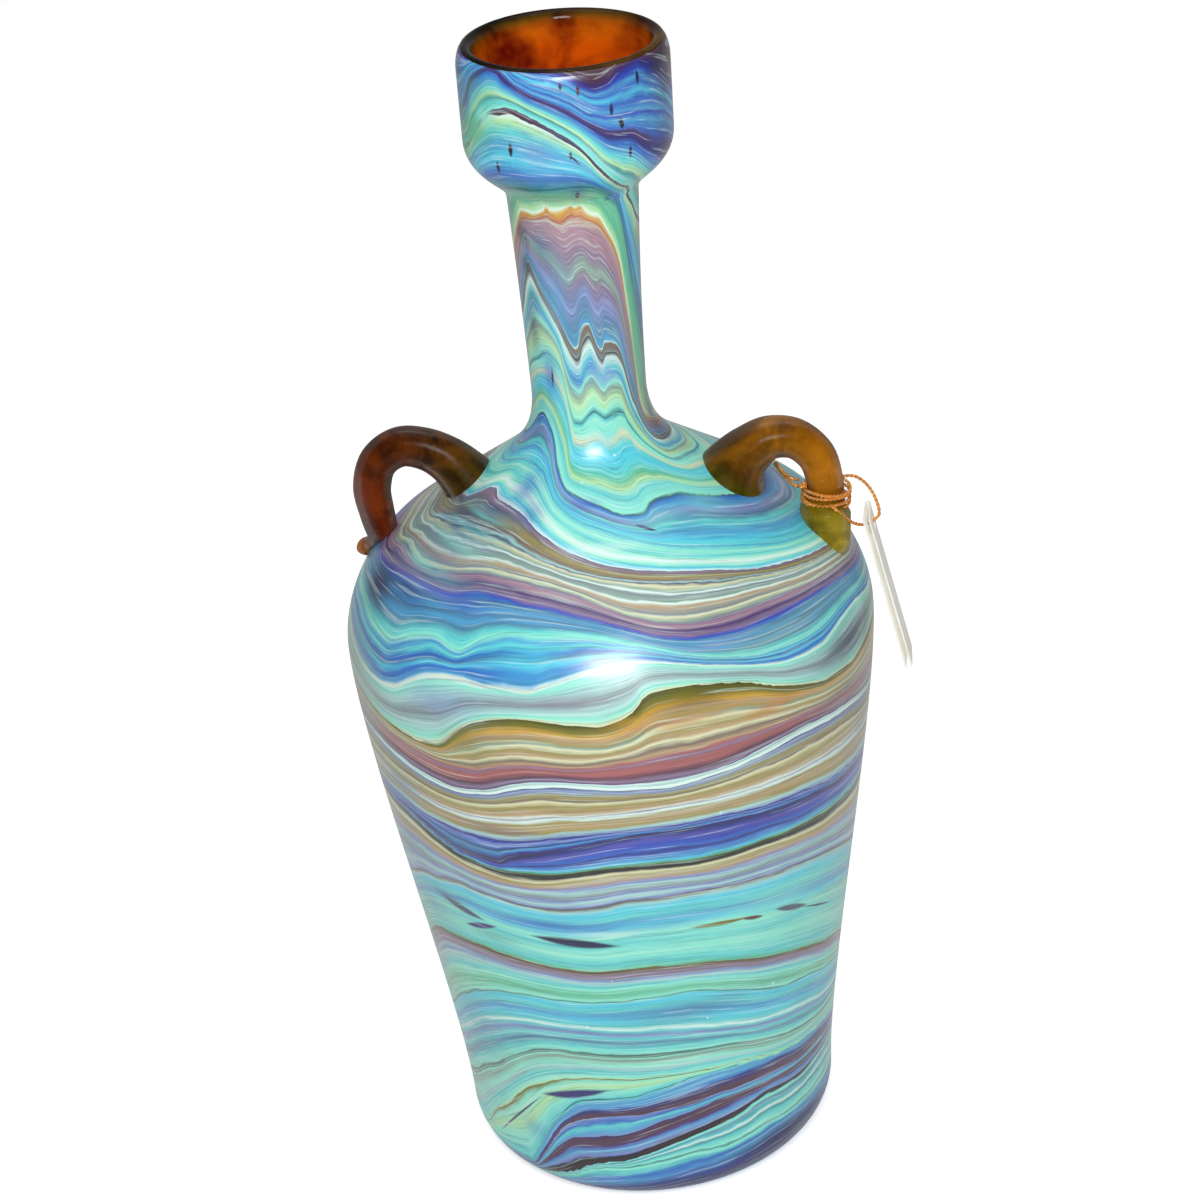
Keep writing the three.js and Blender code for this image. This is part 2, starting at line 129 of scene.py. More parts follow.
def tube(line, facing, radius, sides, turn=0.0, offset=0.0, closed=False):
    """Rings round a line: centre + offset (cos turn, sin turn) + radius (cos, sin) in the plane across
    the line, where facing fixes the first of the plane's two directions."""
    run = (np.roll(line, -1, 0) - np.roll(line, 1, 0)) if closed else np.gradient(line, axis=0)
    run /= np.linalg.norm(run, axis=1)[:, None]
    side = np.cross(run, np.broadcast_to(facing, line.shape))
    side /= np.linalg.norm(side, axis=1)[:, None]
    lift = np.cross(side, run)
    turn = np.broadcast_to(turn, len(line))[:, None]
    centre = line + offset * (np.cos(turn) * side + np.sin(turn) * lift)
    angle = np.linspace(0, 2 * np.pi, sides, endpoint=False)[None, :, None]
    radius = np.broadcast_to(radius, len(line))[:, None, None]
    return centre[:, None] + radius * (np.cos(angle) * side[:, None] + np.sin(angle) * lift[:, None])


def joined(name, pieces):
    """One piece from several separate skins, each of which stays closed."""
    picked = {"active_object": pieces[0], "selected_editable_objects": pieces, "object": pieces[0]}
    with bpy.context.temp_override(**picked):
        bpy.ops.object.join()
    pieces[0].name = pieces[0].data.name = name
    return pieces[0]


def laid_thread(name, line, facing, closed=False):
    """Two plies wound round the line half a turn apart, a turn for every PLY_PITCH of its length."""
    steps = np.linalg.norm(np.diff(line, axis=0), axis=1)
    turns = max(1, round(steps.sum() / PLY_PITCH))
    way = np.concatenate([[0], np.cumsum(steps)]) / steps.sum()
    if closed:
        line, way = line[:-1], way[:-1]
        facing = facing[:-1] if np.ndim(facing) == 2 else facing
    plies = []
    for k in range(2):
        twist = 2 * np.pi * (turns * way + k / 2)
        rings = tube(line, facing, PLY_RADIUS, PLY_SIDES, twist, THREAD_RADIUS - PLY_RADIUS, closed)
        plies.append(ringed_skin(f"{name}_ply_{k}", rings, closed))
    return joined(name, plies)


def shader(name):
    """A new material with a Principled shader, as (material, tree, shader)."""
    made = bpy.data.materials.new(name)
    made.use_nodes = True
    return made, made.node_tree, made.node_tree.nodes["Principled BSDF"]


def node(tree, kind, inputs=(), **settings):
    """A node of that kind with its settings, and each input given as a value or as a socket to link."""
    made = tree.nodes.new(kind)
    for key, value in settings.items():
        setattr(made, key, value)
    for key, value in dict(inputs).items():
        if isinstance(value, bpy.types.NodeSocket):
            tree.links.new(value, made.inputs[key])
        else:
            made.inputs[key].default_value = value
    return made


def sums(tree, operation, *values):
    """The output of a Math node."""
    return node(tree, "ShaderNodeMath", list(enumerate(values)), operation=operation).outputs[0]


def blended(tree, share, first, second, kind="MIX"):
    """A colour between two, by share."""
    mix = node(tree, "ShaderNodeMix", data_type="RGBA", blend_type=kind)
    for socket, value in ((mix.inputs[0], share), (mix.inputs[6], first), (mix.inputs[7], second)):
        if isinstance(value, bpy.types.NodeSocket):
            tree.links.new(value, socket)
        else:
            socket.default_value = value
    return mix.outputs[2]


def ramp(tree, share, stops):
    """A colour ramp with (place, colour) stops."""
    made = node(tree, "ShaderNodeValToRGB", {"Fac": share})
    rungs = made.color_ramp.elements
    while len(rungs) < len(stops):
        rungs.new(0.5)
    for rung, (place, colour) in zip(rungs, stops):
        rung.position = place
        rung.color = colour
    return made.outputs["Color"]


def tone(red, green, blue):
    """A colour as it looks on paper, 0 to 255, made linear."""
    share = np.array([red, green, blue]) / 255
    linear = np.where(share <= 0.04045, share / 12.92, ((share + 0.055) / 1.055) ** 2.4)
    return (*linear.tolist(), 1.0)


def placed(tree):
    """Places on the object, in metres."""
    return node(tree, "ShaderNodeTexCoord").outputs["Object"]


def axes(tree, vector):
    """The three numbers of a vector."""
    return node(tree, "ShaderNodeSeparateXYZ", {0: vector}).outputs


def clouds(tree, place, scale, detail, **more):
    """Cloudy noise from 0 to 1, its lumps about 1 / scale of the place's unit."""
    asked = {"Vector": place, "Scale": scale, "Detail": detail, **more}
    return node(tree, "ShaderNodeTexNoise", asked).outputs[0]


def spread(tree, value, low, high):
    """0 to 1 as the value goes from low to high, and held past both."""
    return node(tree, "ShaderNodeMapRange", {"Value": value, "From Min": low, "From Max": high}).outputs[0]


def finished(tree, glow, colour, roughness, height, strength, distance):
    """Gives a shader its colour, its roughness and a bump."""
    tree.links.new(colour, glow.inputs["Base Color"])
    tree.links.new(roughness, glow.inputs["Roughness"])
    bump = node(tree, "ShaderNodeBump", {"Height": height, "Strength": strength, "Distance": distance})
    tree.links.new(bump.outputs[0], glow.inputs["Normal"])


def foil_thread():
    """Copper-gold foil, part metal: each wrap's colour runs from a painted shade through the foil's own
    copper-gold to a painted highlight, and flecks of core show.
    """
    made, tree, glow = shader("copper_thread")
    laid = node(tree, "ShaderNodeUVMap", uv_map="laid").outputs[0]
    wraps = node(tree, "ShaderNodeTexWave", {"Vector": laid, "Scale": 30, "Distortion": 2.5, "Detail": 2},
                 bands_direction="DIAGONAL").outputs["Fac"]
    flecks = clouds(tree, placed(tree), 1900, 2)
    bare = sums(tree, "SMOOTH_MAX", sums(tree, "MULTIPLY_ADD", flecks, 5, -3.1), 0, 0.1)
    # Partly the foil's own copper-gold, partly painted light: the deep orange stop is painted shade and the
    # pale gold stop is a painted highlight on each wrap.
    foil_with_painted_light = ramp(tree, wraps, [
        (0, tone(204, 80, 12)), (0.45, tone(255, 148, 34)), (1, tone(255, 220, 124))])
    foil_with_painted_light = blended(tree, bare, foil_with_painted_light, tone(120, 62, 34))
    finished(tree, glow, foil_with_painted_light, sums(tree, "MULTIPLY_ADD", wraps, -0.2, 0.42), wraps, 0.5, 0.00006)
    glow.inputs["Metallic"].default_value = 0.45
    return made


copper_thread = foil_thread()
loop_line = eased_line(LOOP_ROUTE, 260)
thread_loop = laid_thread("foil_thread_loop", loop_line, LOOP_FLAT)
thread_loop.data.materials.append(copper_thread)
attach(thread_loop, "tag_thread")
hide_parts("thread_loop")

# ------------------------------------------------------------------ marbled skin
# Thin overlay of opaque glass, drawn out in trails of many colours and combed while hot, so that the
# trails rise and dip round the vase. It is fused over the amber bubble from the heel to the rim.
FOOT_RADIUS, HEEL_WIDTH, HEEL_HEIGHT = 30.7, 11.2, 11
BODY_RADIUS, BODY_HEIGHT = 57.3, 130
ROLL_RADIUS, ROLL_HEIGHT = 45.7, 22.2
ROOT_RADIUS, SLOPE_TOP = 22.2, 167.8
NECK_RADIUS, NECK_BOTTOM, NECK_TOP_RADIUS, NECK_TOP = 12.1, 184.2, 13.6, 228.2
CUP_RADIUS, CUP_BOTTOM, CUP_TOP = 21.6, 240.2, 255.4
RIM_HEIGHT, LIP_WALL = 260.0, 4.0
CASING_WALL, GLASS_GAP, CORE_WALL = 0.9, 0.3, 2.8
LIP_BEAD = 0.5
NECK_LEAN = 1.1
FRONT = -82.0  # the way the drawn side faces, degrees from +X


def bent(controls, count):
    """Points on a Bezier curve through its controls: the blend of each with the binomial weights."""
    share = np.linspace(0, 1, count)[:, None]
    controls = np.asarray(controls, float)[:, None] * np.ones((1, count, 1))
    while len(controls) > 1:
        controls = controls[:-1] * (1 - share) + controls[1:] * share
    return controls[0]


def glass_outline():
    """Radius and height of the outside, from the foot up: quarter ellipse of the heel, slow curve of
    the wall, turn onto the shoulder, straight slope, turn into the neck, neck, cup and rim ellipse."""
    roll_end = np.array([ROLL_RADIUS, BODY_HEIGHT + ROLL_HEIGHT])
    slope_end = np.array([ROOT_RADIUS, SLOPE_TOP])
    slope = slope_end - roll_end
    heel = np.linspace(-np.pi / 2, 0, 40)
    rim = np.linspace(0, np.pi / 2, 30)
    heel_end = (FOOT_RADIUS + HEEL_WIDTH, HEEL_HEIGHT)
    return np.vstack([
        np.stack([FOOT_RADIUS + HEEL_WIDTH * np.cos(heel), HEEL_HEIGHT * (1 + np.sin(heel))], -1),
        bent([heel_end, (heel_end[0] + 0.8, HEEL_HEIGHT + 0.2 * BODY_HEIGHT),
              (BODY_RADIUS, 0.82 * BODY_HEIGHT), (BODY_RADIUS, BODY_HEIGHT)], 120)[1:],
        bent([(BODY_RADIUS, BODY_HEIGHT), (BODY_RADIUS, BODY_HEIGHT + 0.43 * ROLL_HEIGHT),
              roll_end - 0.2 * slope, roll_end], 60)[1:],
        bent([slope_end, slope_end + 0.26 * slope, (NECK_RADIUS + 0.2, SLOPE_TOP + 7.4),
              (NECK_RADIUS, NECK_BOTTOM)], 60),
        bent([(NECK_RADIUS, NECK_BOTTOM), (NECK_RADIUS + 0.3, 206.2), (NECK_TOP_RADIUS, NECK_TOP)], 40)[1:],
        bent([(NECK_TOP_RADIUS, NECK_TOP), (NECK_TOP_RADIUS + 0.3, NECK_TOP + 3.6),
              (CUP_RADIUS - 0.4, NECK_TOP + 5), (CUP_RADIUS - 0.1, CUP_BOTTOM)], 60)[1:],
        np.stack([CUP_RADIUS - LIP_WALL / 2 * (1 - np.cos(rim)),
                  CUP_TOP + (RIM_HEIGHT - CUP_TOP) * np.sin(rim)], -1),
    ])


def way_up(line):
    """Distance along a line from its start."""
    return np.concatenate([[0], np.cumsum(np.linalg.norm(np.diff(line, axis=0), axis=1))])


def inset(line, depth):
    """The line moved inwards by depth, across its own run."""
    run = np.gradient(line, axis=0)
    run /= np.linalg.norm(run, axis=1)[:, None]
    return line + depth * np.stack([-run[:, 1], run[:, 0]], -1)


def turned(profile, azimuth):
    """The profile turned round the axis, in metres: (r cos, r sin, z), with everything above the slope
    leaned towards +X by the square of its share of the way to the rim."""
    radius, height = profile[:, None, 0], profile[:, None, 1]
    x, y = radius * np.cos(azimuth), radius * np.sin(azimuth)
    share = np.clip((height - SLOPE_TOP) / (RIM_HEIGHT - SLOPE_TOP), 0, None)
    lean = 2 * NECK_LEAN * share / (RIM_HEIGHT - SLOPE_TOP)
    return np.stack([x + NECK_LEAN * share**2, y, height - x * lean], -1) * MM


PIGMENTS = {
    "white": (224, 248, 240), "cream": (222, 224, 182), "mint": (146, 236, 212), "lime": (184, 232, 172),
    "sea": (96, 192, 152), "aqua": (98, 212, 212), "cyan": (84, 208, 232), "teal": (57, 148, 152),
    "tealdark": (31, 91, 96), "sky": (80, 163, 212), "steel": (80, 134, 167), "blue": (50, 106, 196),
    "royal": (47, 73, 186), "deep": (32, 45, 133), "navy": (22, 24, 75), "indigo": (47, 39, 114),
    "violet": (89, 82, 172), "lilac": (131, 148, 201), "purple": (80, 57, 114), "plum": (85, 52, 79),
    "maroon": (59, 16, 30), "black": (20, 16, 26), "mauve": (140, 120, 148), "pinkish": (169, 134, 148),
    "rose": (167, 96, 97), "orange": (199, 134, 66), "gold": (206, 162, 62), "tan": (186, 160, 122),
    "ochre": (159, 148, 84), "olive": (120, 117, 33), "olivedark": (68, 72, 24), "greenblack": (22, 39, 30),
    "sage": (138, 168, 154), "pale": (166, 212, 210), "grey": (131, 148, 151), "slate": (65, 75, 105),
    "taupe": (120, 107, 94), "brown": (92, 68, 48),
}

# Trails from the foot to the rim. Each has its way up the glass in millimetres at azimuths from the
# drawn side in degrees, and the colours below it, from the trail under it (0) to itself (1).
TRAILS = [
    ("foot", "0:0", ""),
    ("heel", "-90:8 -40:9 -20:13 0:16 10:17.5 20:18 30:19 40:20 60:19.5 90:18",
     "0 aqua .4 blue .62 navy .85 deep 1 sky"),
    ("heel shade", "-90:9 -45:11 -30:14.5 -20:18 -10:19 0:20.5 10:21.5 20:20.5 30:21.7 36:22.2 42:21.4 "
     "60:22 90:21",
     "0 sky .3 blue .6 aqua .9 mint 1 teal"),
    ("black low", "-90:10 -60:10 -45:11 -38:12 -33:13.5 -28:15 -25:17 -20:18.7 -10:20.5 0:23.3 10:25.7 "
     "20:28 30:30 35:30.8 40:30.3 50:29.7 60:30 70:30.5 90:29",
     "0 tealdark .08 mint .3 aqua .42 teal .5 white .6 aqua .8 steel .9 mint 1 aqua"),
    ("black high", "-90:11 -45:11.8 -38:14 -33:16 -28:18.6 -25:20 -20:20.8 -10:22.5 0:25.2 10:27.6 "
     "20:29.5 30:31 35:31.6 40:31 50:30.3 60:30.6 90:29.6",
     "0 black .45 maroon .7 black 1 black"),
    ("plum low", "-90:11.5 -45:12.4 -38:16 -33:19 -28:22.6 -25:23.6 -20:24.2 -10:25.6 0:28 10:30.3 "
     "20:31.8 30:32.8 40:32.6 50:32 70:31.7 90:31",
     "0 violet .2 lilac .6 sky 1 violet"),
    ("plum high", "-90:12 -45:12.8 -38:17.2 -33:21.8 -28:25.4 -25:26.6 -20:27.2 -10:28.6 0:31.2 "
     "10:33.4 20:34.6 30:34.5 40:34 60:33.5 90:32",
     "0 purple .3 plum .8 plum 1 indigo"),
    ("dusk low", "-90:12.6 -45:13.2 -38:19 -33:25 -28:29.6 -20:32.6 -10:33.6 0:34.8 10:35.7 20:36.5 "
     "30:36.4 40:35.5 50:34.7 60:34.3 70:33.3 90:32.5",
     "0 lilac .2 sky .5 aqua .7 blue 1 lilac"),
    ("dusk high", "-90:13 -45:13.6 -38:20 -33:26 -28:30.8 -20:34.7 -10:35.8 0:37.6 10:39.4 20:40.3 "
     "30:40.2 40:39.4 45:38.5 50:38 60:37.3 70:35.8 80:33.7 90:33",
     "0 plum .4 plum .7 indigo 1 deep"),
    ("leaf low", "-90:13.5 -60:13.8 -45:14.2 -42:17 -39:21 -36:25 -33:29 -28:33 -24:36 -20:37.5 -10:39 "
     "0:41 10:43.4 16:44 25:43.3 40:41 60:39 90:35.5",
     "0 blue .3 sky .75 sky .9 aqua 1 tealdark"),
    ("leaf high", "-90:14.5 -80:14.8 -70:16 -60:23 -50:30.5 -40:37.5 -35:40.5 -30:42.5 -25:43.8 "
     "-20:44.6 -10:45 0:45 10:44.5 16:44.3 25:43.7 40:41.4 60:39.4 90:36",
     "0 tealdark .05 aqua .4 mint .6 lime .88 mint .97 olive 1 olive"),
    ("pair", "-90:22 -80:26 -70:30 -60:35.5 -50:41 -40:47 -35:49.5 -30:51 -25:51.7 0:51.2 10:51 "
     "20:50.3 30:47.8 40:45.5 50:43.8 60:42.3 80:40 90:38",
     "0 lime .08 mint .3 aqua .45 pale .6 mint .85 sage .93 mint .97 greenblack 1 mint"),
    ("mist", "-90:34 -80:38 -70:43 -60:49 -50:54.5 -40:58 -30:59.5 -20:59.7 0:59.5 10:58.7 20:56.5 "
     "30:54 40:52 50:50 60:47.5 80:44 90:42",
     "0 sage .05 tealdark .1 mint .3 aqua .5 steel .65 aqua .8 lilac .93 aqua 1 white"),
    ("reed", "-90:41 -80:45 -70:50.5 -60:57 -50:62.5 -40:66 -30:67 -20:67 -10:67.8 0:68.5 10:68.5 "
     "20:66.5 30:63.5 40:60.5 50:58 60:55 70:52.5 80:49 90:46",
     "0 white .1 aqua .3 cyan .5 sky .7 aqua .9 cyan .97 aqua 1 teal"),
    ("bark low", "-90:55 -80:61 -70:67.5 -60:73 -50:75 -40:75.5 -30:75.5 -10:74.3 0:75 10:74.5 20:73 "
     "30:70 40:67.5 50:64.5 60:61 70:57.5 80:53 90:50",
     "0 tealdark .06 mint .3 sea .5 mint .62 aqua .8 pale .92 lilac 1 grey"),
    ("bark high", "-90:58 -80:64.5 -70:71.5 -65:74.5 -60:76.3 -50:78 -40:78.5 -30:78 -20:77 -12:76.5 "
     "0:77.4 10:76.8 20:75 30:72.3 40:69.8 50:66.8 60:63.3 70:59.7 80:55.3 90:52",
     "0 mauve .35 mauve .6 taupe .85 brown .95 olive 1 sage"),
    ("twig", "-90:80 -80:83 -70:87.5 -60:91.8 -52:93.3 -45:94.8 -30:94 -20:93.8 -10:94.8 0:96.6 "
     "10:96.5 20:95.5 30:94.5 40:93.5 50:91.3 60:88.5 70:85 90:80",
     "0 sea .08 aqua .25 mint .4 aqua .52 mint .62 cyan .7 sky .8 aqua .9 cyan .96 pale 1 brown"),
    ("green low", "-90:104 -70:107.5 -60:107.3 -50:105 -40:102.5 -30:101.6 -20:102.4 -10:104 -2:104.8 "
     "5:104.5 15:103.5 30:103 40:101.8 50:100.5 60:99.3 70:98 90:96",
     "0 brown .04 lilac .16 pale .26 lilac .36 grey .5 pale .6 lilac .72 tan .85 ochre .93 cream 1 "
     "taupe"),
    ("green high", "-90:105.5 -70:109 -60:108.8 -50:106.5 -40:104 -30:103.5 -20:104.3 -10:105.7 "
     "-2:106.4 5:106.2 15:105.3 30:104.8 40:104 50:103 60:102 70:101 90:98.5",
     "0 black .4 greenblack .7 olivedark .9 sea 1 greenblack"),
    ("lance", "-90:106.5 -60:109.3 -40:104.6 -31:104.2 -29:106 -25:107.5 -20:109 -15:110.5 -10:111.8 "
     "-5:113 0:113.5 20:113 30:112 40:110.5 50:109 60:107.5 70:106 90:103",
     "0 cyan .12 sky .28 blue .36 indigo .44 blue .6 royal .75 violet .88 deep 1 navy"),
    ("night", "-90:110 -70:112.5 -60:112.3 -50:111 -40:110.8 -30:111.3 -20:113 -15:114.5 -10:115.2 "
     "0:115.6 20:114.8 30:113.6 40:112 50:110.6 60:109 70:107.3 90:104",
     "0 navy .2 indigo .3 blue .45 sky .52 navy .62 blue .8 lilac .86 royal 1 navy"),
    ("sand", "-90:116 -60:117 -45:116.3 -35:116.5 -25:118 -15:119.5 0:120.2 20:119.8 40:118.5 60:117 "
     "90:114",
     "0 lilac .15 pale .3 ochre .55 tan .75 ochre .88 white 1 mauve"),
    ("foam low", "-90:123 -70:125 -60:124 -50:122.5 -40:121.8 -35:122.3 -30:123.3 -25:125.3 -20:126.7 "
     "-15:127.1 -10:126.7 0:125.7 10:125.2 20:125.7 30:126.8 40:127.2 50:126.3 60:124.7 70:122.8 90:120",
     "0 white .1 tan .35 ochre .5 cream .56 taupe .7 ochre .82 grey .92 lilac 1 slate"),
    ("foam high", "-90:124.2 -70:126.2 -60:125.2 -50:123.8 -40:123.1 -35:123.6 -30:124.6 -25:126.6 "
     "-20:128 -15:128.4 -10:128 0:127 10:126.6 20:127.1 30:128.4 40:129 50:127.8 60:126 70:124 90:121.2",
     "0 white .4 white .7 pale 1 white"),
    ("blush", "-90:133 -65:131 -50:129.8 -40:129 -33:129.5 -28:131.3 -20:132.6 -10:132 0:133 10:134 "
     "20:134 30:133.3 40:132.5 50:131 60:130 70:129.5 90:131",
     "0 purple .15 mauve .3 plum .5 rose .7 rose .8 mauve .9 rose 1 tan"),
    ("moss", "-90:136 -70:134 -60:132.3 -50:131.6 -45:131.9 -41:133 -38:135.5 -34:139 -30:141 -25:142 "
     "-20:142.4 -10:141.6 -5:141.2 0:142.3 3:143.8 5:146.3 8:147.6 12:147.6 20:146.5 25:145.5 30:144 "
     "35:141.6 40:139.5 50:136.6 60:135.6 70:137 90:139",
     "0 tan .1 taupe .2 cream .25 tan .36 ochre .46 cream .5 sage .56 ochre .66 tan .74 gold .86 olive "
     "1 olivedark"),
    ("surf", "-90:146 -75:143 -65:141.5 -60:141.6 -55:142.5 -50:145.5 -45:148 -40:149.2 -35:149.6 "
     "-30:149.2 -20:148.8 -12:151 -5:153 3:153.8 10:153 15:151.8 20:150.4 25:149.2 30:147.8 40:145.4 "
     "50:144.8 60:146.2 65:146.5 70:146 80:143.8 90:143",
     "0 cream .1 mint .3 pale .5 grey .7 pale .9 mint .97 white 1 cream"),
    ("bay", "-90:152 -80:153 -70:152 -60:151 -52:154.5 -45:156 -38:154.5 -32:158 -25:160.3 -15:160.8 "
     "-5:160 5:157.5 15:153.8 25:151 35:149 50:148 62:148.5 75:147 90:145.5",
     "0 white .08 sky .25 blue .4 cyan .5 steel .6 blue .75 aqua .85 sky 1 mint"),
    ("royal", "-90:161 -80:162 -70:164 -60:165 -50:165.2 -45:165.8 -40:167.2 -35:167.6 -28:167.2 "
     "-20:166.6 -10:164.8 0:162 5:160.4 10:158.6 15:157.2 20:156.2 30:155.2 40:155 50:154.5 60:153.5 "
     "70:152 80:150 90:148.5",
     "0 mint .12 aqua .3 steel .42 sky .55 steel .66 sky .82 steel .92 blue .97 royal 1 violet"),
    ("heather", "-90:165 -80:167 -70:167 -60:168 -50:170.5 -40:172.3 -30:172.3 -20:171.7 -10:169.7 "
     "0:166 5:163.8 10:162 20:160 30:159.3 40:158.8 50:157.6 60:156.2 70:154.7 90:151",
     "0 violet .2 mauve .45 purple .6 mauve .75 pinkish .88 mauve 1 grey"),
    ("dune", "-90:175 -80:176.5 -70:178 -60:180 -50:180.6 -40:180.2 -30:178.8 -20:176.8 -10:174.6 "
     "0:172.8 10:171 20:169.3 30:167.3 40:165 50:162.3 60:160 70:157.8 90:154",
     "0 sage .12 cream .16 grey .35 tan .45 white .5 sage .68 grey .74 white .8 sage .92 cream 1 slate"),
    ("ridge", "-90:183 -80:184 -76:186 -70:189.5 -65:190.2 -60:189.2 -50:188.9 -40:187.6 -30:185 "
     "-20:182 -10:179 0:176.3 10:174 20:172 30:169.8 40:167 50:163.8 60:161.3 70:159 90:155",
     "0 slate .08 pale .2 taupe .5 ochre .7 taupe .9 mauve 1 slate"),
    ("reef", "-90:195 -70:198 -60:199 -50:199 -40:198 -35:196.5 -30:194.5 -25:192 -20:190 -10:187 "
     "0:184.5 10:182 20:179 30:176.5 40:174 50:171 60:167 70:164 90:160",
     "0 white .12 cyan .22 mint .35 white .5 mint .62 aqua .75 mint .9 aqua 1 sky"),
    ("root", "-90:203 -70:207 -60:209.3 -55:209.8 -50:209.2 -45:207.6 -40:205.5 -35:202.3 -30:199.2 "
     "-25:196.6 -20:194.4 -10:192 0:189.8 10:187.4 16:186.7 20:186.9 25:188.6 30:189 40:189 50:186 "
     "60:183 70:180 90:176",
     "0 aqua .15 cyan .3 sky .45 aqua .55 steel .7 lilac .82 sky .95 blue 1 tealdark"),
    ("collar", "-90:216 -70:220 -50:223 -40:224 -33:223.3 -28:221.7 -25:219 -22.5:214 -20:210.6 "
     "-17:209 -12:209 -5:209.9 3:210.9 8:210.1 13:209.3 18:209.9 25:210.4 33:209.7 36:207.3 40:205.2 "
     "45:202.6 50:200 55:197 60:195.2 70:194.4 90:192",
     "0 tealdark .03 mint .18 aqua .28 lime .36 sea .46 aqua .58 cyan .68 aqua .76 cream .84 mint .94 "
     "mint .97 aqua 1 tealdark"),
    ("wave low", "-90:228 -70:234 -60:239 -55:241.5 -52:242.3 -48:241 -44:239 -40:237 -35:235 "
     "-30:232.7 -25:230.5 -20:227.5 -15:224.8 -10:223.2 -7:223.6 -4:226 0:227.5 4:228 8:225.5 12:222.8 "
     "15:222 19:223.8 25:223.7 30:223.2 35:221.5 38:219.5 42:215.5 46:212 50:209.5 55:204.5 60:201.5 "
     "68:200 90:199",
     "0 teal .07 mint .25 lime .42 sage .5 mint .62 sky .75 aqua .9 white 1 greenblack"),
    ("wave high", "-90:230 -70:236 -60:241 -55:243.5 -52:244.3 -48:243 -44:241 -40:239 -35:237 -30:235 "
     "-25:233 -20:230.5 -15:227.5 -10:225.8 -7:226.3 -4:228.8 0:230.6 4:231.2 8:228.5 12:225.6 "
     "15:224.9 19:227 25:226.5 30:225.6 35:223.6 38:221.2 42:217 46:213.5 50:211 55:206.5 60:203.2 "
     "68:201.6 90:200.5",
     "0 greenblack .15 grey .45 taupe .8 taupe .93 pale 1 white"),
    ("crest", "-90:240 -70:246 -60:250 -52:253 -37:253.8 -30:254.3 -25:254.6 -20:254 -12:253.2 -5:254 "
     "0:254 8:253.6 15:252.8 20:252 25:250 30:247.5 35:244.8 40:240.5 43:236.5 46:231 50:225 53:219 "
     "57:210 62:205 70:203.5 90:202",
     "0 sky .12 steel .28 lilac .45 mauve .58 sage .72 mauve .85 pinkish .95 pinkish 1 tan"),
    ("froth", "-90:243 -70:249 -60:252.5 -52:255 -37:255.3 -30:256 -27:256.4 -24:257.7 -21:256.3 "
     "-15:256.3 -10:256.6 -6:257.3 -3:258.2 0:257 5:257.6 8:256.6 12:255.6 20:254.4 25:252.2 30:249.7 "
     "35:247 40:243 43:239 46:233.5 50:228 53:222 57:213 62:207.5 70:205.5 90:204",
     "0 rose .3 orange .7 gold .9 cream 1 white"),
    ("glade", "-90:258 -70:262 -50:264 -30:265 0:266 10:265.5 20:262.5 30:259 38:257 43:254 47:250 "
     "51:245 55:240 60:235 66:229 75:222 90:215",
     "0 white .1 lime .35 sea .7 sea .9 teal 1 tealdark"),
    ("ribbon low", "-90:270 -70:272 -60:276 -50:279.5 -45:280.8 -40:281.2 -30:281 -20:279.8 -10:278 "
     "0:275.8 5:274.3 10:272 15:269.3 20:267 30:263.2 40:260.5 50:257 60:253.5 70:250 90:247",
     "0 teal .25 blue .45 cyan .65 sky .8 aqua .92 lime 1 white"),
    ("ribbon high", "-90:270.6 -70:272.6 -60:276.6 -50:280.1 -45:281.6 -40:282.5 -35:283 -30:282.8 "
     "-20:281.3 -10:279.1 0:276.7 5:275.1 10:272.8 15:270.1 20:267.8 30:264 40:261.3 50:257.8 60:254.3 "
     "70:250.8 90:247.8",
     "0 maroon .5 plum 1 purple"),
    ("band", "-90:276 -70:280 -60:286 -50:289.5 -45:290.3 -40:290 -35:288.5 -28:287 -20:285.4 "
     "-10:283.9 0:281.8 10:279 15:277.6 20:276.3 30:275.2 35:274.8 40:273.3 45:271.5 55:269.3 70:267 "
     "90:264",
     "0 mint .2 aqua .32 teal .42 lime .6 aqua .75 sky .9 blue 1 indigo"),
    ("thread", "-90:280 -70:284 -60:289 -45:291 -35:290.5 -28:288.5 -20:287.2 -10:286 0:284.2 5:283 "
     "10:281.6 20:280 30:279.4 40:279 50:278.5 60:277 70:275 90:270",
     "0 indigo .3 purple .45 blue .8 sky 1 royal"),
    ("cap", "-90:290 -60:291 -30:291.4 -10:291 0:290 8:288 15:287 22:287.6 30:289.6 40:290 50:288.5 "
     "60:286 70:283 80:281 90:280",
     "0 royal .08 sky .3 blue .45 cyan .6 blue .72 sky .85 royal 1 indigo"),
    ("rim", "0:292.5", "0 indigo .35 plum .7 maroon 1 navy"),
]

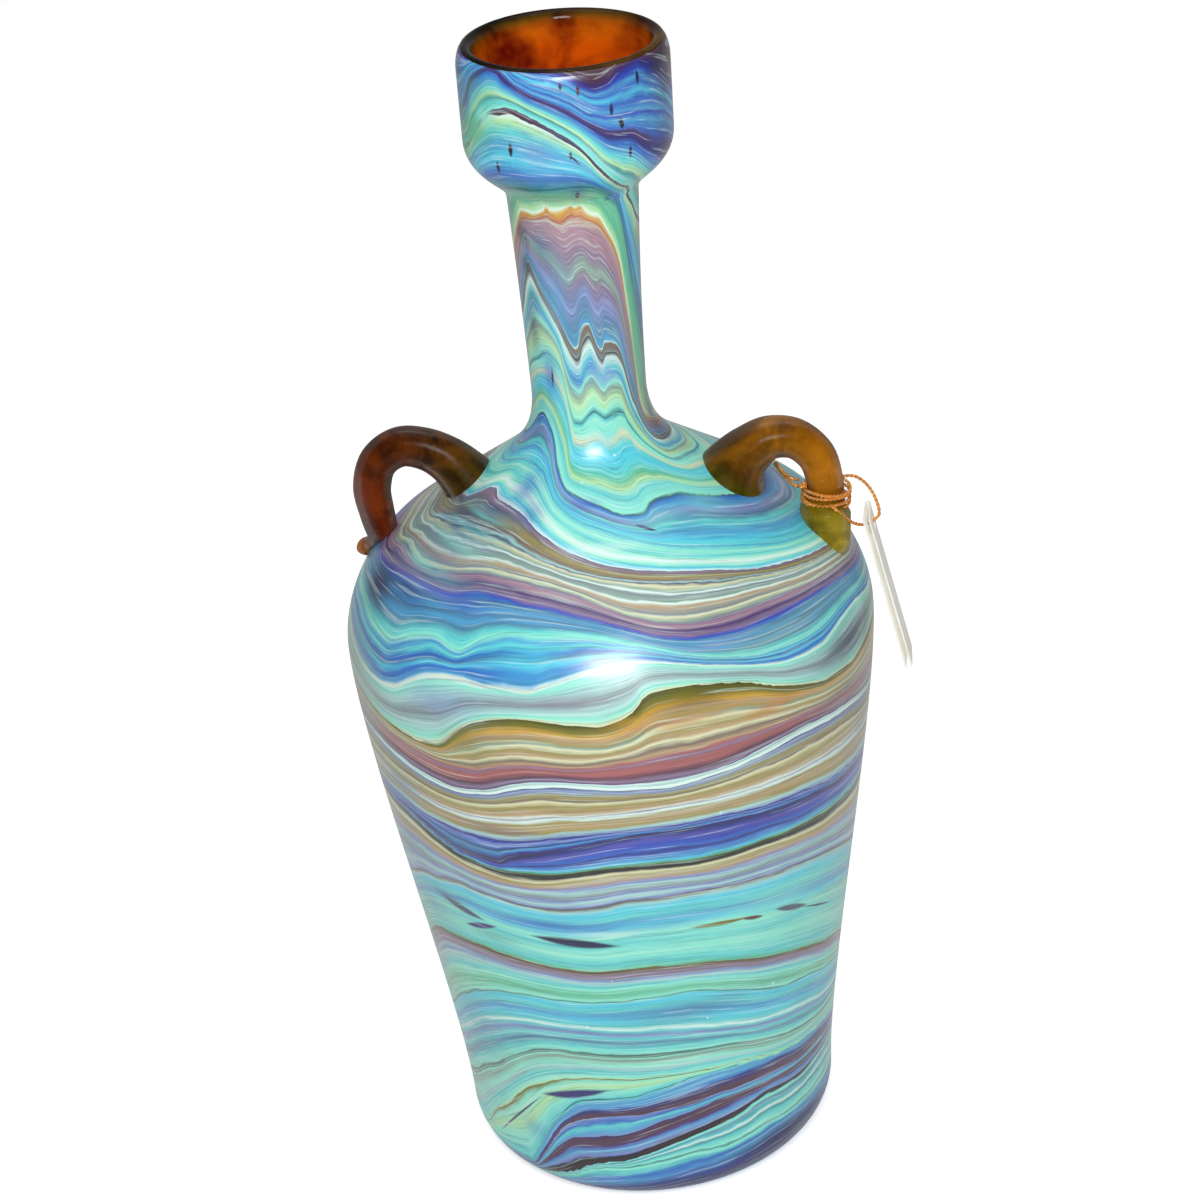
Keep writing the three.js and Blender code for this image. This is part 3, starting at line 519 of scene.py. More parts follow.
# Soft washes of colour: azimuth and way of the middle, half breadth in degrees, half height, strength
WASHES = [
    ("navy", -57, 250, 8, 2.6, .7), ("navy", -56, 243, 8, 2.2, .7), ("slate", -56, 229, 8, 5, .7),
    ("slate", -48, 236, 12, 3, .4), ("navy", -50, 248, 3, 2, .5), ("sky", -22, 238, 14, 7, .45),
    ("steel", -35, 248, 10, 5, .45), ("steel", 0, 236, 8, 3, .5), ("sea", 58, 228, 7, 16, .5),
    ("slate", 74, 205, 12, 7, .7), ("slate", 80, 225, 9, 25, .5), ("ochre", 74, 247, 12, 3, .5),
    ("blue", 55, 243, 4, 5, .5), ("blue", -40, 219, 9, 5, .75), ("blue", 5, 221, 7, 3, .55),
    ("blue", -12, 219, 8, 3, .5), ("lilac", 18, 219, 12, 3, .4), ("cyan", 8, 203, 16, 4, .5),
    ("blue", -45, 193.5, 9, 4, .7), ("blue", -34, 188, 6, 3, .5), ("royal", -8, 191, 8, 1.4, .5),
    ("navy", -76, 158, 9, 5, .95), ("deep", -62, 161.5, 9, 2.6, .7), ("royal", -42, 164.5, 9, 2.2, .6),
    ("blue", -55, 148.5, 6, 3, .5), ("blue", -28, 151.5, 8, 2, .6), ("cyan", -20, 155, 9, 4, .6),
    ("sage", -76, 140, 14, 8, .6), ("lilac", -40, 143, 9, 3.5, .5), ("mauve", -15, 146.5, 14, 1.8, .4),
    ("navy", 62, 140.2, 13, 3.2, .85), ("slate", 60, 142.5, 11, 1.2, .5),
    ("olivedark", 18, 144.6, 10, 2, .6), ("orange", 12, 140.5, 12, 1.1, .75),
    ("orange", 33, 137.5, 6, 1.2, .8), ("gold", 2, 142, 6, 1, .5), ("olive", -34, 135, 6, 4, .5),
    ("plum", 55, 130.5, 12, 1.8, .5), ("rose", 0, 130.5, 9, 1.6, .5), ("steel", -60, 116, 10, 3, .6),
    ("steel", -40, 107.5, 8, 1.6, .6), ("royal", 10, 110.5, 30, 2, .3), ("steel", -62, 82, 9, 4, .5),
    ("blue", -22, 89, 15, 1.8, .6), ("slate", -52, 88.3, 6, 1.5, .6), ("mint", 28, 85, 25, 5, .5),
    ("steel", 10, 63, 18, 3, .6), ("steel", -55, 50, 9, 8, .35), ("sage", -72, 62, 9, 8, .4),
    ("navy", 45, 16.5, 22, 2.2, .85), ("blue", 8, 16, 14, 2, .5), ("sky", -15, 273, 15, 5, .45),
    ("lilac", -18, 274, 8, 3, .4), ("deep", 2, 264, 6, 3, .45), ("navy", 66, 283, 11, 4, .7),
    ("deep", -78, 287, 9, 3, .5), ("deep", 58, 272, 12, 3, .6), ("sea", -55, 284, 12, 4, .4),
    ("royal", 35, 283, 20, 3, .3), ("taupe", -74, 75, 8, 4, .4), ("sea", -62, 277, 14, 3, .85),
    ("teal", -75, 278, 9, 5, .6), ("navy", 60, 287, 14, 2.6, .8), ("maroon", 14, 288, 9, 2, .5),
    ("sage", 42, 151.5, 26, 2.2, .45), ("lilac", 24, 154, 10, 1, .5), ("aqua", 25, 184, 14, 3, .5),
    ("mint", 52, 186, 9, 6, .4), ("sky", 35, 181, 8, 2, .4), ("sage", -70, 128, 8, 10, .35),
    ("slate", 70, 120, 8, 12, .35), ("steel", -66, 98, 8, 6, .4), ("sky", 5, 88.5, 14, 1.2, .5),
    ("white", -8, 87.2, 8, .8, .6), ("cyan", -30, 91.5, 10, 1, .4), ("teal", -38, 82.5, 8, 1.3, .6),
    ("white", 0, 180, 12, 1.3, .5), ("mint", -40, 45, 12, 3, .3), ("blue", -40, 25, 5, 3, .4),
    ("slate", -68, 182, 24, 2.6, .8), ("steel", -60, 185.4, 20, 1.6, .7),
    ("mauve", -62, 188, 16, 1.3, .6), ("aqua", -58, 183.6, 14, .7, .6),
    ("navy", -56, 186.6, 12, .6, .6), ("steel", -64, 178, 18, 1, .7), ("mint", -60, 175.4, 16, .8, .7),
    ("grey", -62, 173.6, 18, .9, .6), ("aqua", -56, 179.8, 16, .7, .6), ("mauve", -66, 171, 14, 1, .5),
    ("sea", -62, 276, 10, 3, .95), ("sea", -78, 272, 10, 4, .9), ("steel", -66, 174, 20, 8, .35),
    ("aqua", -66, 168, 20, 1.6, .45), ("lilac", -60, 164.5, 18, 1.6, .4),
    ("mint", -50, 280.2, 6, 1.6, .95), ("white", 30, 119, 26, .7, .4), ("indigo", -30, 114, 12, .8, .5),
]

# Short drawn touches, crisp: azimuth, way, half length in degrees, half thickness, rise per degree
TOUCHES = [
    ("navy", -16, 84.7, 12, 1.5, -.07), ("slate", -47.5, 87.2, 8, 1.2, -.12),
    ("indigo", -42, 84.2, 6, 1, .25), ("olive", 20, 85.7, 9, .7, -.11),
    ("brown", 28.5, 84.2, 3.5, .7, -.25), ("slate", 41, 81.6, 6.5, 1.1, -.35),
    ("greenblack", 52, 76.8, 8, .35, -.42), ("indigo", -24, 39.2, 12, 1.5, .2),
    ("purple", -47, 27, 13, .5, .78), ("indigo", 18, 183.3, 4.5, .6, -.33),
    ("navy", -37, 218.6, 1.6, 2.6, .5), ("black", -33, 274.2, 1.5, 1.8, 0),
    ("navy", -42.5, 270, 1.4, 1.7, 0), ("maroon", 0, 273.3, 1, 1, -.1),
    ("maroon", 2, 272.4, 3.5, .35, -.45), ("navy", 23.5, 281.6, 1.3, 1.7, 0),
    ("black", 29, 278.3, 1.8, 1.5, -.3), ("navy", 33.5, 272, 1.3, 1.5, .3),
    ("navy", 41, 286.6, 1.4, 1.9, 0), ("navy", 2.5, 262.4, 1.8, 2.2, 0),
    ("plum", 6, 286.5, 1.2, 1.4, 0), ("plum", -3, 287.5, 1.1, 1.2, 0),
]

WAYS, ROUND = 300, 290  # points up the outside and round it
SKIN_FROM, SKIN_INNER_FROM, SKIN_TURN = 3.0, 4.5, 0.3  # way up of its edges, and of the turn at its rim


def drawn_line(route, azimuth):
    """Way up of one trail at each azimuth: cubic stretches between its given points, whose slopes are
    the harmonic mean of the neighbouring stretches' and 0 at crests and ends, so it never overshoots."""
    at, way = np.array([pair.split(":") for pair in route.split()], float).T
    if len(at) == 1:
        return np.full_like(azimuth, way[0])
    gap = np.diff(at)
    steep = np.diff(way) / gap
    both = steep[:-1] * steep[1:]
    mean = np.divide(2 * both, steep[:-1] + steep[1:], out=np.zeros_like(both), where=both > 0)
    slope = np.concatenate([[0], mean, [0]])
    where = np.clip(azimuth, at[0], at[-1])
    k = np.clip(np.searchsorted(at, where, "right") - 1, 0, len(gap) - 1)
    share = (where - at[k]) / gap[k]
    rise = way[k + 1] - way[k]
    return (way[k] + gap[k] * slope[k] * share * (1 - share) ** 2 + rise * share**2 * (3 - 2 * share)
            - gap[k] * slope[k + 1] * share**2 * (1 - share))


def drawn_glass(way, azimuth):
    """Flow of the drawn trails: at each way up and azimuth, how far through the trails' own order the
    glass is, in millimetres of each trail's mean spacing. The far side follows the near one turned
    over, with slow swells of its own. Returns the flow and each trail's place in it."""
    side = np.abs(azimuth) > 90
    near = np.where(side, np.sign(azimuth) * 180 - azimuth, azimuth)
    far = np.clip((np.abs(azimuth) - 75) / 45, 0, 1)
    far = far * far * (3 - 2 * far)
    hold = np.clip(np.minimum(way, way[-1] - way) / 25, 0, 1)
    turn = np.radians(azimuth)
    swell = far * (9 * np.sin(2 * turn + 1.1) + 4 * np.sin(5 * turn + way / 23))
    lines = np.array([drawn_line(route, near[0]) for _, route, _ in TRAILS])
    order = np.arange(len(lines))[:, None] * 0.12
    lines = np.maximum.accumulate(lines - order, axis=0) + order
    front = np.abs(azimuth[0]) < 60
    spacing = np.maximum(np.diff(lines[:, front].mean(1)), 1.2)
    drawn_way = way + hold * swell
    share = [np.clip((drawn_way - low) / (high - low), 0, 1) for low, high in zip(lines[:-1], lines[1:])]
    return sum(s * part for s, part in zip(spacing, share)), np.concatenate([[0], np.cumsum(spacing)])


def washed_colour(way, azimuth):
    """Soft coloured clouds laid over each other: each has a strength that falls off as a bell."""
    colour = np.zeros((*np.broadcast_shapes(way.shape, azimuth.shape), 4))
    for name, at, height, breadth, tall, strength in WASHES:
        away = ((azimuth - at) / breadth) ** 2 + ((way - height) / tall) ** 2
        share = strength * np.exp(-away * 1.1)[..., None]
        cover = colour[..., 3:]
        total = share + cover * (1 - share)
        laid = share * np.array(tone(*PIGMENTS[name])[:3]) + (1 - share) * cover * colour[..., :3]
        colour[..., :3] = laid / np.maximum(total, 1e-6)
        colour[..., 3:] = total
    return colour


outline = glass_outline()
outline_way = way_up(outline)
casing_end = np.interp(RIM_HEIGHT - LIP_BEAD, outline[-30:, 1], outline_way[-30:])
outer_way = np.linspace(SKIN_FROM, casing_end, WAYS)
outer = np.stack([np.interp(outer_way, outline_way, outline[:, k]) for k in range(2)], -1)
inner_way = np.linspace(casing_end - SKIN_TURN, SKIN_INNER_FROM, 34)
inner = inset(outline, CASING_WALL)
inner = np.stack([np.interp(inner_way, outline_way, inner[:, k]) for k in range(2)], -1)
shell = np.vstack([outer, inner])
azimuth = np.linspace(-180, 180, ROUND, endpoint=False)[None, :]
casing = ringed_skin("marbled_skin", turned(shell, np.radians(azimuth + FRONT)), closed=True)
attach(casing, "vase")
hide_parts("marbled_casing")

shell_way = np.concatenate([outer_way, inner_way])[:, None]
flow, places = drawn_glass(shell_way, azimuth)
turn = np.radians(azimuth)
drawn = np.stack([np.cos(turn) + 0 * flow, np.sin(turn) + 0 * flow, flow], -1)
place = casing.data.attributes.new("drawn", "FLOAT_VECTOR", "POINT")
place.data.foreach_set("vector", drawn.astype(np.float32).ravel())
spot = np.stack([azimuth + 0 * flow, shell_way + 0 * flow, 0 * flow], -1)
place = casing.data.attributes.new("spot", "FLOAT_VECTOR", "POINT")
place.data.foreach_set("vector", spot.astype(np.float32).ravel())
wash = casing.data.attributes.new("wash", "FLOAT_COLOR", "POINT")
wash.data.foreach_set("color", washed_colour(shell_way, azimuth).astype(np.float32).ravel())


TOUCH_INPUTS = ("Azimuth", "Way", "At", "Height", "Half length", "Half thickness", "Rise")


def touch_group():
    """Mask of one short drawn touch: a lens, thickest at its middle and pointed at both ends, given by
    its middle, half length, half thickness and rise per degree."""
    group = bpy.data.node_groups.new("drawn_touch", "ShaderNodeTree")
    for name in TOUCH_INPUTS:
        group.interface.new_socket(name, in_out="INPUT", socket_type="NodeSocketFloat")
    group.interface.new_socket("Mask", in_out="OUTPUT", socket_type="NodeSocketFloat")
    given = group.nodes.new("NodeGroupInput").outputs
    beside = sums(group, "SUBTRACT", given["Azimuth"], given["At"])
    above = sums(group, "SUBTRACT", sums(group, "SUBTRACT", given["Way"], given["Height"]),
                 sums(group, "MULTIPLY", beside, given["Rise"]))
    along = sums(group, "DIVIDE", beside, given["Half length"])
    lens_shape = sums(group, "SUBTRACT", 1, sums(group, "MULTIPLY", along, along))
    limit = sums(group, "MULTIPLY", sums(group, "MAXIMUM", lens_shape, 0), given["Half thickness"])
    edge = sums(group, "DIVIDE", sums(group, "SUBTRACT", limit, sums(group, "ABSOLUTE", above)),
                sums(group, "MULTIPLY", given["Half thickness"], 0.45))
    mask = node(group, "ShaderNodeClamp", {"Value": edge}).outputs[0]
    result = group.nodes.new("NodeGroupOutput")
    group.links.new(mask, result.inputs["Mask"])
    return group


def drawn_colours(tree, flow_place):
    """The trails' colours along the flow, as a row of colour ramps of at most 30 stops each, every ramp
    starting on the stop that the last one ended on."""
    stops = []
    for k, (_, _, recipe) in enumerate(TRAILS[1:]):
        words = recipe.split()
        stops += [(places[k] + float(at) * (places[k + 1] - places[k]), tone(*PIGMENTS[name]))
                  for at, name in zip(words[::2], words[1::2])]
    colour = None
    most = 30
    for first in range(0, len(stops), most - 1):
        run = stops[first:first + most]
        low, high = run[0][0], run[-1][0]
        if high <= low:
            break
        share = spread(tree, flow_place, low, high)
        part = ramp(tree, share, [((at - low) / (high - low), shade) for at, shade in run])
        if colour is not None:
            part = blended(tree, sums(tree, "GREATER_THAN", flow_place, low), colour, part)
        colour = part
    return colour


def strengths(tree, share, stops):
    """A ramp of greys with (place, strength) stops."""
    return ramp(tree, share, [(place, (grey, grey, grey, 1)) for place, grey in stops])


def marbled_glass():
    """Marbled glass: the trails' colours, wavered and split by stretched noise that follows the flow,
    with white and dark hairlines, soft washes, crisp touches, pits, and a satin surface."""
    made, tree, glow = shader("marbled_glass")
    read, spot_read = (node(tree, "ShaderNodeAttribute", attribute_name=name).outputs["Vector"]
                       for name in ("drawn", "spot"))
    spots = axes(tree, spot_read)
    wash = node(tree, "ShaderNodeAttribute", attribute_name="wash").outputs
    place = placed(tree)

    def streaks(across, along, detail, shift=0.0):
        """Noise stretched along the flow: fine across it, and slow round the vase."""
        sized = node(tree, "ShaderNodeVectorMath", {0: read, 1: (along, along, across)},
                     operation="MULTIPLY").outputs[0]
        moved = node(tree, "ShaderNodeVectorMath", {0: sized, 1: (shift,) * 3}, operation="ADD").outputs[0]
        return clouds(tree, moved, 1, detail, Roughness=0.6)

    shiver = clouds(tree, place, 210, 3, Roughness=0.55)
    broad = streaks(0.16, 2.2, 3)
    waver = sums(tree, "ADD", sums(tree, "MULTIPLY_ADD", broad, 2.6, -1.3),
                 sums(tree, "MULTIPLY_ADD", shiver, 0.5, -0.25))
    colour = drawn_colours(tree, sums(tree, "ADD", axes(tree, read)[2], waver))
    colour = blended(tree, wash["Alpha"], colour, wash["Color"])
    touch = touch_group()
    for name, *sizes in TOUCHES:
        given = dict(zip(TOUCH_INPUTS, (spots[0], spots[1], *sizes)))
        lens_mark = node(tree, "ShaderNodeGroup", given, node_tree=touch)
        colour = blended(tree, lens_mark.outputs[0], colour, tone(*PIGMENTS[name]))
    fine = streaks(2.6, 1.6, 3, 7.0)
    lights = strengths(tree, fine, [(0, 0), (0.57, 0), (0.64, 0.42), (0.7, 0.1), (1, 0)])
    darks = strengths(tree, fine, [(0, 0), (0.33, 0.1), (0.38, 0.4), (0.43, 0), (1, 0)])
    colour = blended(tree, lights, colour, tone(*PIGMENTS["white"]))
    shaded = blended(tree, 1.0, colour, tone(92, 102, 126), "MULTIPLY")
    colour = blended(tree, darks, colour, shaded)
    pits = node(tree, "ShaderNodeTexVoronoi", {"Vector": place, "Scale": 150, "Randomness": 1})
    chosen = node(tree, "ShaderNodeSeparateColor", {0: pits.outputs["Color"]}).outputs[0]
    bright = sums(tree, "MULTIPLY", sums(tree, "LESS_THAN", pits.outputs["Distance"], 0.06),
                  sums(tree, "GREATER_THAN", chosen, 0.86))
    colour = blended(tree, sums(tree, "MULTIPLY", bright, 0.6), colour, tone(235, 248, 250))
    relief = sums(tree, "ADD", sums(tree, "MULTIPLY", fine, 0.35), broad)
    relief = sums(tree, "SUBTRACT", relief, sums(tree, "MULTIPLY", bright, 0.5))
    finished(tree, glow, colour, sums(tree, "MULTIPLY_ADD", broad, 0.16, 0.24), relief, 0.35, 0.0005)
    glow.inputs["IOR"].default_value = 1.52
    glow.inputs["Coat Weight"].default_value = 0.45
    glow.inputs["Coat Roughness"].default_value = 0.2
    return made


casing.data.materials.append(marbled_glass())

# ------------------------------------------------------------------ amber bubble
# First gather of deep amber glass, blown into the shape: it shows inside the mouth, as the bare rim
# and as the ground foot ring. The mouth was fire-polished.
FLOOR_THICKNESS, PUSH_UP = 9.0, 3.0
FOOT_RING_RADIUS, FOOT_RING_WIDTH = 30.0, 8.0
LIP_INNER_DROP = 2.6


def bubble_profile():
    """Radius and height from the middle of the foot out, up under the skin, over the rounded rim, down
    the bore and across the floor to the axis."""
    skin = inset(outline, CASING_WALL + GLASS_GAP)  # hidden, so every other point is enough
    skin = skin[(skin[:, 1] > 1.6) & (outline[:, 1] < CUP_TOP + 3.4)][::2]
    bore = inset(outline, CASING_WALL + GLASS_GAP + CORE_WALL)
    bore = bore[(bore[:, 1] > FLOOR_THICKNESS + 4) & (outline[:, 1] < CUP_TOP)][::-1]
    ring = FOOT_RING_RADIUS
    ring_inner = ring - FOOT_RING_WIDTH
    bead = np.linspace(np.radians(66), np.radians(180), 26)
    across = CUP_RADIUS - LIP_WALL / 2 + LIP_WALL / 2 * np.cos(bead)
    up = np.where(bead < np.pi / 2, CUP_TOP + (RIM_HEIGHT - CUP_TOP) * np.sin(bead),
                  RIM_HEIGHT - LIP_INNER_DROP * (1 - np.sin(bead)))
    rim = np.stack([across, up], -1)
    wall = bore[-1, 0]
    floor = bent([bore[-1], (wall - 1, FLOOR_THICKNESS + 0.6), (wall * 0.6, FLOOR_THICKNESS),
                  (0.4, FLOOR_THICKNESS - 1)], 24)
    foot = bent([(0.4, PUSH_UP), (ring_inner * 0.7, PUSH_UP), (ring_inner, 1.0),
                 (ring_inner + 0.6, 0.25)], 16)
    land = np.array([(ring_inner + 1.2, 0.02), (ring_inner + 1.8, 0), (ring - 1.2, 0),
                     (ring - 0.4, 0.1), (ring, 0.5)])
    shelf = np.array([(rim[0, 0] - 0.5, rim[0, 1] - 0.35)])
    return np.vstack([foot, land, skin, shelf, rim, bore, floor[1:]])


def amber_glass(name, tints, along, patch_scale, clear, rough):
    """Amber glass: a run of tints along the piece (along is a socket from 0 to 1 made by the caller in
    the tree), deep and bright patches by cloudy noise, and a fine waver of the surface. It lets light
    through by clear. tints are (place, shaded tint, bright tint)."""
    made, tree, glow = shader(name)
    place = placed(tree)
    slow = clouds(tree, place, patch_scale, 3, Distortion=0.8)
    grain = clouds(tree, place, patch_scale * 6, 4)
    run = sums(tree, "ADD", along(tree), sums(tree, "MULTIPLY_ADD", slow, 0.14, -0.07))
    shaded = ramp(tree, run, [(at, tone(*first)) for at, first, _ in tints])
    bright = ramp(tree, run, [(at, tone(*second)) for at, _, second in tints])
    patches = sums(tree, "ADD", slow, sums(tree, "MULTIPLY_ADD", grain, 0.2, -0.1))
    colour = blended(tree, spread(tree, patches, 0.36, 0.64), shaded, bright)
    finished(tree, glow, colour, sums(tree, "MULTIPLY_ADD", grain, 0.12, rough), patches, 0.22, 0.0008)
    glow.inputs["IOR"].default_value = 1.35
    glow.inputs["Transmission Weight"].default_value = clear
    glow.inputs["Specular IOR Level"].default_value = 0.09
    return made


def below_rim(tree):
    """0 down in the cup to 1 on the rim, from the height: 8 mm below the rim to the crest."""
    return spread(tree, axes(tree, placed(tree))[2], 0.2525, 0.2603)


BUBBLE_TINTS = [  # place, shaded, bright
    (0.0, (104, 14, 8), (236, 96, 6)), (0.5, (132, 28, 8), (244, 118, 14)),
    (0.68, (110, 34, 8), (216, 104, 14)), (0.78, (84, 34, 6), (172, 96, 12)),
    (0.88, (34, 18, 6), (112, 78, 14)), (0.96, (14, 7, 6), (58, 40, 10)), (1.0, (10, 5, 5), (24, 14, 8))]
bubble_round = np.radians(np.linspace(0, 360, 160, endpoint=False))[None, :]
core = ringed_skin("amber_bubble", turned(bubble_profile(), bubble_round))
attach(core, "vase")
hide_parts("amber_core")
core.data.materials.append(amber_glass("amber_glass", BUBBLE_TINTS, below_rim, 62, 0.25, 0.05))

# ------------------------------------------------------------------ handles
# Two bits of hot amber cane, dropped on the shoulder, drawn up in a bow and pressed down again. The
# right one ends in a pulled point, and the left one in a small tail with a knob.
# Stations: the middle of the cane, and its half depth and half width there.
RIGHT_STATIONS = [
    (26.6, 0, 156.8, 9.4, 10.4), (28.0, 0, 160.8, 8.4, 9.4), (30.0, 0, 164.6, 6.8, 7.5),
    (32.8, 0, 167.8, 5.6, 6.2), (37.2, 0, 170.6, 4.7, 5.2), (42.6, 0, 170.3, 4.3, 4.5),
    (46.8, 0, 166.4, 4.1, 4.1), (48.3, 0, 160.4, 3.9, 3.9), (48.3, -0.1, 157.0, 4.0, 4.2),
    (48.0, -0.7, 154.4, 5.0, 5.5), (48.3, -1.8, 152.0, 5.6, 6.3), (49.6, -3.6, 149.0, 4.4, 5.0),
    (51.6, -6.2, 145.6, 1.7, 1.6)]
LEFT_STATIONS = [
    (25.8, 0, 159.8, 7.4, 7.4), (28.4, 0, 164.3, 6.1, 6.2), (31.6, 0, 168.1, 5.2, 5.3),
    (36.2, 0, 170.9, 4.6, 4.7), (41.8, 0, 171.6, 4.3, 4.3), (46.8, 0, 168.3, 4.1, 4.2),
    (48.9, 0, 162.2, 4.1, 4.2), (48.5, 0, 156.5, 3.9, 4.1), (48.3, -0.8, 152.6, 3.6, 4.0),
    (49.5, -2.2, 149.5, 2.4, 2.8), (51.5, -3.9, 147.2, 1.6, 1.8), (53.0, -5.0, 145.6, 2.0, 2.1),
    (53.5, -5.3, 144.2, 1.8, 1.9)]
CANE_RINGS, CANE_SIDES = 150, 48


def drawn_cane(name, stations, side, seed):
    """A cane along an eased line, with its own half depth in the bow's plane and half width across it at
    each station, its ends rounded as a quarter circle, and slow swells round it so that it isn't a true
    tube. side is -1 for the left handle, which is the same half-turned about the axis."""
    line = eased_line(stations, CANE_RINGS)
    share = np.linspace(0, 1, CANE_RINGS)
    tip = np.sqrt(np.clip(1 - (1 - np.clip(np.minimum(share, 1 - share) / 0.035, 0, 1)) ** 2, 0.0004, 1))
    angle = np.linspace(0, 2 * np.pi, CANE_SIDES, endpoint=False)[None, :]
    flat = tube(line[:, :3], (0, 1, 0), 1.0, 4) - line[:, None, :3]
    depth, width = line[:, None, 3:4] * tip[:, None, None], line[:, None, 4:5] * tip[:, None, None]
    rings = depth * np.cos(angle)[..., None] * flat[:, :1] + width * np.sin(angle)[..., None] * flat[:, 1:2]
    along = share[:, None]
    swell = (1 + 0.025 * np.sin(2 * angle + 9 * along + seed)
             + 0.02 * np.sin(3 * angle - 14 * along + 2 * seed))
    rings = (line[:, None, :3] + rings * swell[..., None]) * np.array([side, side, 1]) * MM
    return ringed_skin(name, rings)


def along_cane(tree):
    """0 at the cane's upper foot to 1 at its lower end, from its own UV map."""
    return axes(tree, node(tree, "ShaderNodeUVMap", uv_map="laid").outputs[0])[1]


RIGHT_TINTS = [  # place, shaded, bright
    (0.0, (54, 60, 4), (98, 98, 12)), (0.12, (58, 54, 4), (96, 88, 10)),
    (0.19, (66, 38, 2), (104, 64, 6)), (0.36, (96, 56, 2), (150, 94, 10)),
    (0.55, (116, 66, 2), (182, 112, 12)), (0.66, (92, 50, 2), (140, 84, 6)),
    (0.76, (60, 52, 0), (112, 94, 8)), (1.0, (86, 78, 8), (166, 146, 40))]
LEFT_TINTS = [
    (0.0, (34, 30, 6), (66, 54, 10)), (0.14, (40, 26, 4), (84, 56, 8)),
    (0.3, (52, 18, 2), (104, 50, 6)), (0.5, (50, 10, 2), (104, 38, 4)),
    (0.66, (52, 8, 0), (126, 50, 4)), (0.76, (80, 30, 4), (180, 100, 28)),
    (0.9, (88, 36, 2), (188, 110, 26)), (1.0, (142, 62, 2), (214, 124, 18))]
for name, finish, stations, side, tints in (
        ("handle_right", "gold_amber_glass", RIGHT_STATIONS, 1, RIGHT_TINTS),
        ("handle_left", "red_amber_glass", LEFT_STATIONS, -1, LEFT_TINTS)):
    cane = drawn_cane(f"{name}_cane", stations, side, 1.7 * side)
    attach(cane, "vase")
    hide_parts(name)
    cane.data.materials.append(amber_glass(finish, tints, along_cane, 120, 0.12, 0.2))

# ------------------------------------------------------------------ hitch, knot and ends
# The same thread passes twice round the right handle's lower limb and is tied there in a small
# overhand knot, whose two cut ends stand out under the bow.
HITCH_RADIUS = 5.046  # in millimetres, since HITCH_FRAME makes metres of it
STRAND_APART, TURN_SWAY = 0.42 * MM, 0.2 * MM
HITCH_SPACING = 2.3 * MM
KNOT_AT = HITCH + np.array([-4.9, -3.71, 3.25]) @ HITCH_FRAME
KNOT_RADIUS = 1.1 * MM
END_ROUTES = {
    1: [(-6, -2.4, 3.85), (-7.75, -0.6, 3.5), (-9.6, 1.8, 3.85), (-11.05, 4.6, 4.4)],
    2: [(-5.95, -2.6, 2.35), (-7.75, -0.2, 2.3), (-9.7, 2.6, 3), (-11.3, 5.6, 3.6)],
}


def tied(piece, cad_node):
    piece.data.materials.append(copper_thread)
    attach(piece, "vase")
    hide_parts(cad_node)


round_turn = np.linspace(0, 2 * np.pi, 241)[:, None]
for place, share in (("upper", -0.5), ("lower", 0.5)):
    strands = []
    for strand in (-1, 1):  # the thread is doubled here, and its two strands run side by side
        sway = TURN_SWAY * np.sin(2 * round_turn + 2 * strand + 3 * share)
        slide = share * HITCH_SPACING + strand * STRAND_APART + sway
        outward = np.cos(round_turn) * HITCH_FRAME[0] + np.sin(round_turn) * HITCH_FRAME[1]
        ring = HITCH + slide * HITCH_RUN + HITCH_RADIUS * outward
        piece_name = f"foil_thread_{place}_strand_{strand + 1}"
        strands.append(laid_thread(piece_name, ring, HITCH_RUN, closed=True))
    tied(joined(f"foil_thread_{place}_turn", strands), f"thread_turn_{place}")
trefoil = np.stack([np.sin(round_turn) + 2 * np.sin(2 * round_turn),
                    np.cos(round_turn) - 2 * np.cos(2 * round_turn),
                    -1.3 * np.sin(3 * round_turn)], -1)[:, 0] * (KNOT_RADIUS - THREAD_RADIUS) / 3.0
tied(laid_thread("foil_thread_knot", KNOT_AT + trefoil, trefoil, closed=True), "thread_knot")
for number, route in END_ROUTES.items():
    end_line = eased_line(HITCH + np.array(route) @ HITCH_FRAME, 90)
    tied(laid_thread(f"foil_thread_end_{number}", end_line, (0, 0, 1)), f"thread_end_{number}")

# ------------------------------------------------------------------ card tag
# White card, folded once down its far edge and punched through both leaves. It is blank here.
TAG_LENGTH, TAG_WIDTH, TAG_CARD, TAG_FOLD, TAG_OPENING = 36, 10, 0.35, 0.4, 0.9
TAG_HOLE_RADIUS, TAG_HOLE_FROM_TOP, TAG_HANG = 1.5, 3.2, 0.6
TAG_LEAN = np.radians(12)
TAG_ROWS, HOLE_REACH, LEAF_BOW = 120, 2.8, 0.06
HOLE_AT = LOOP_ROUTE[6] - MM * np.array([0, 0, TAG_HANG])


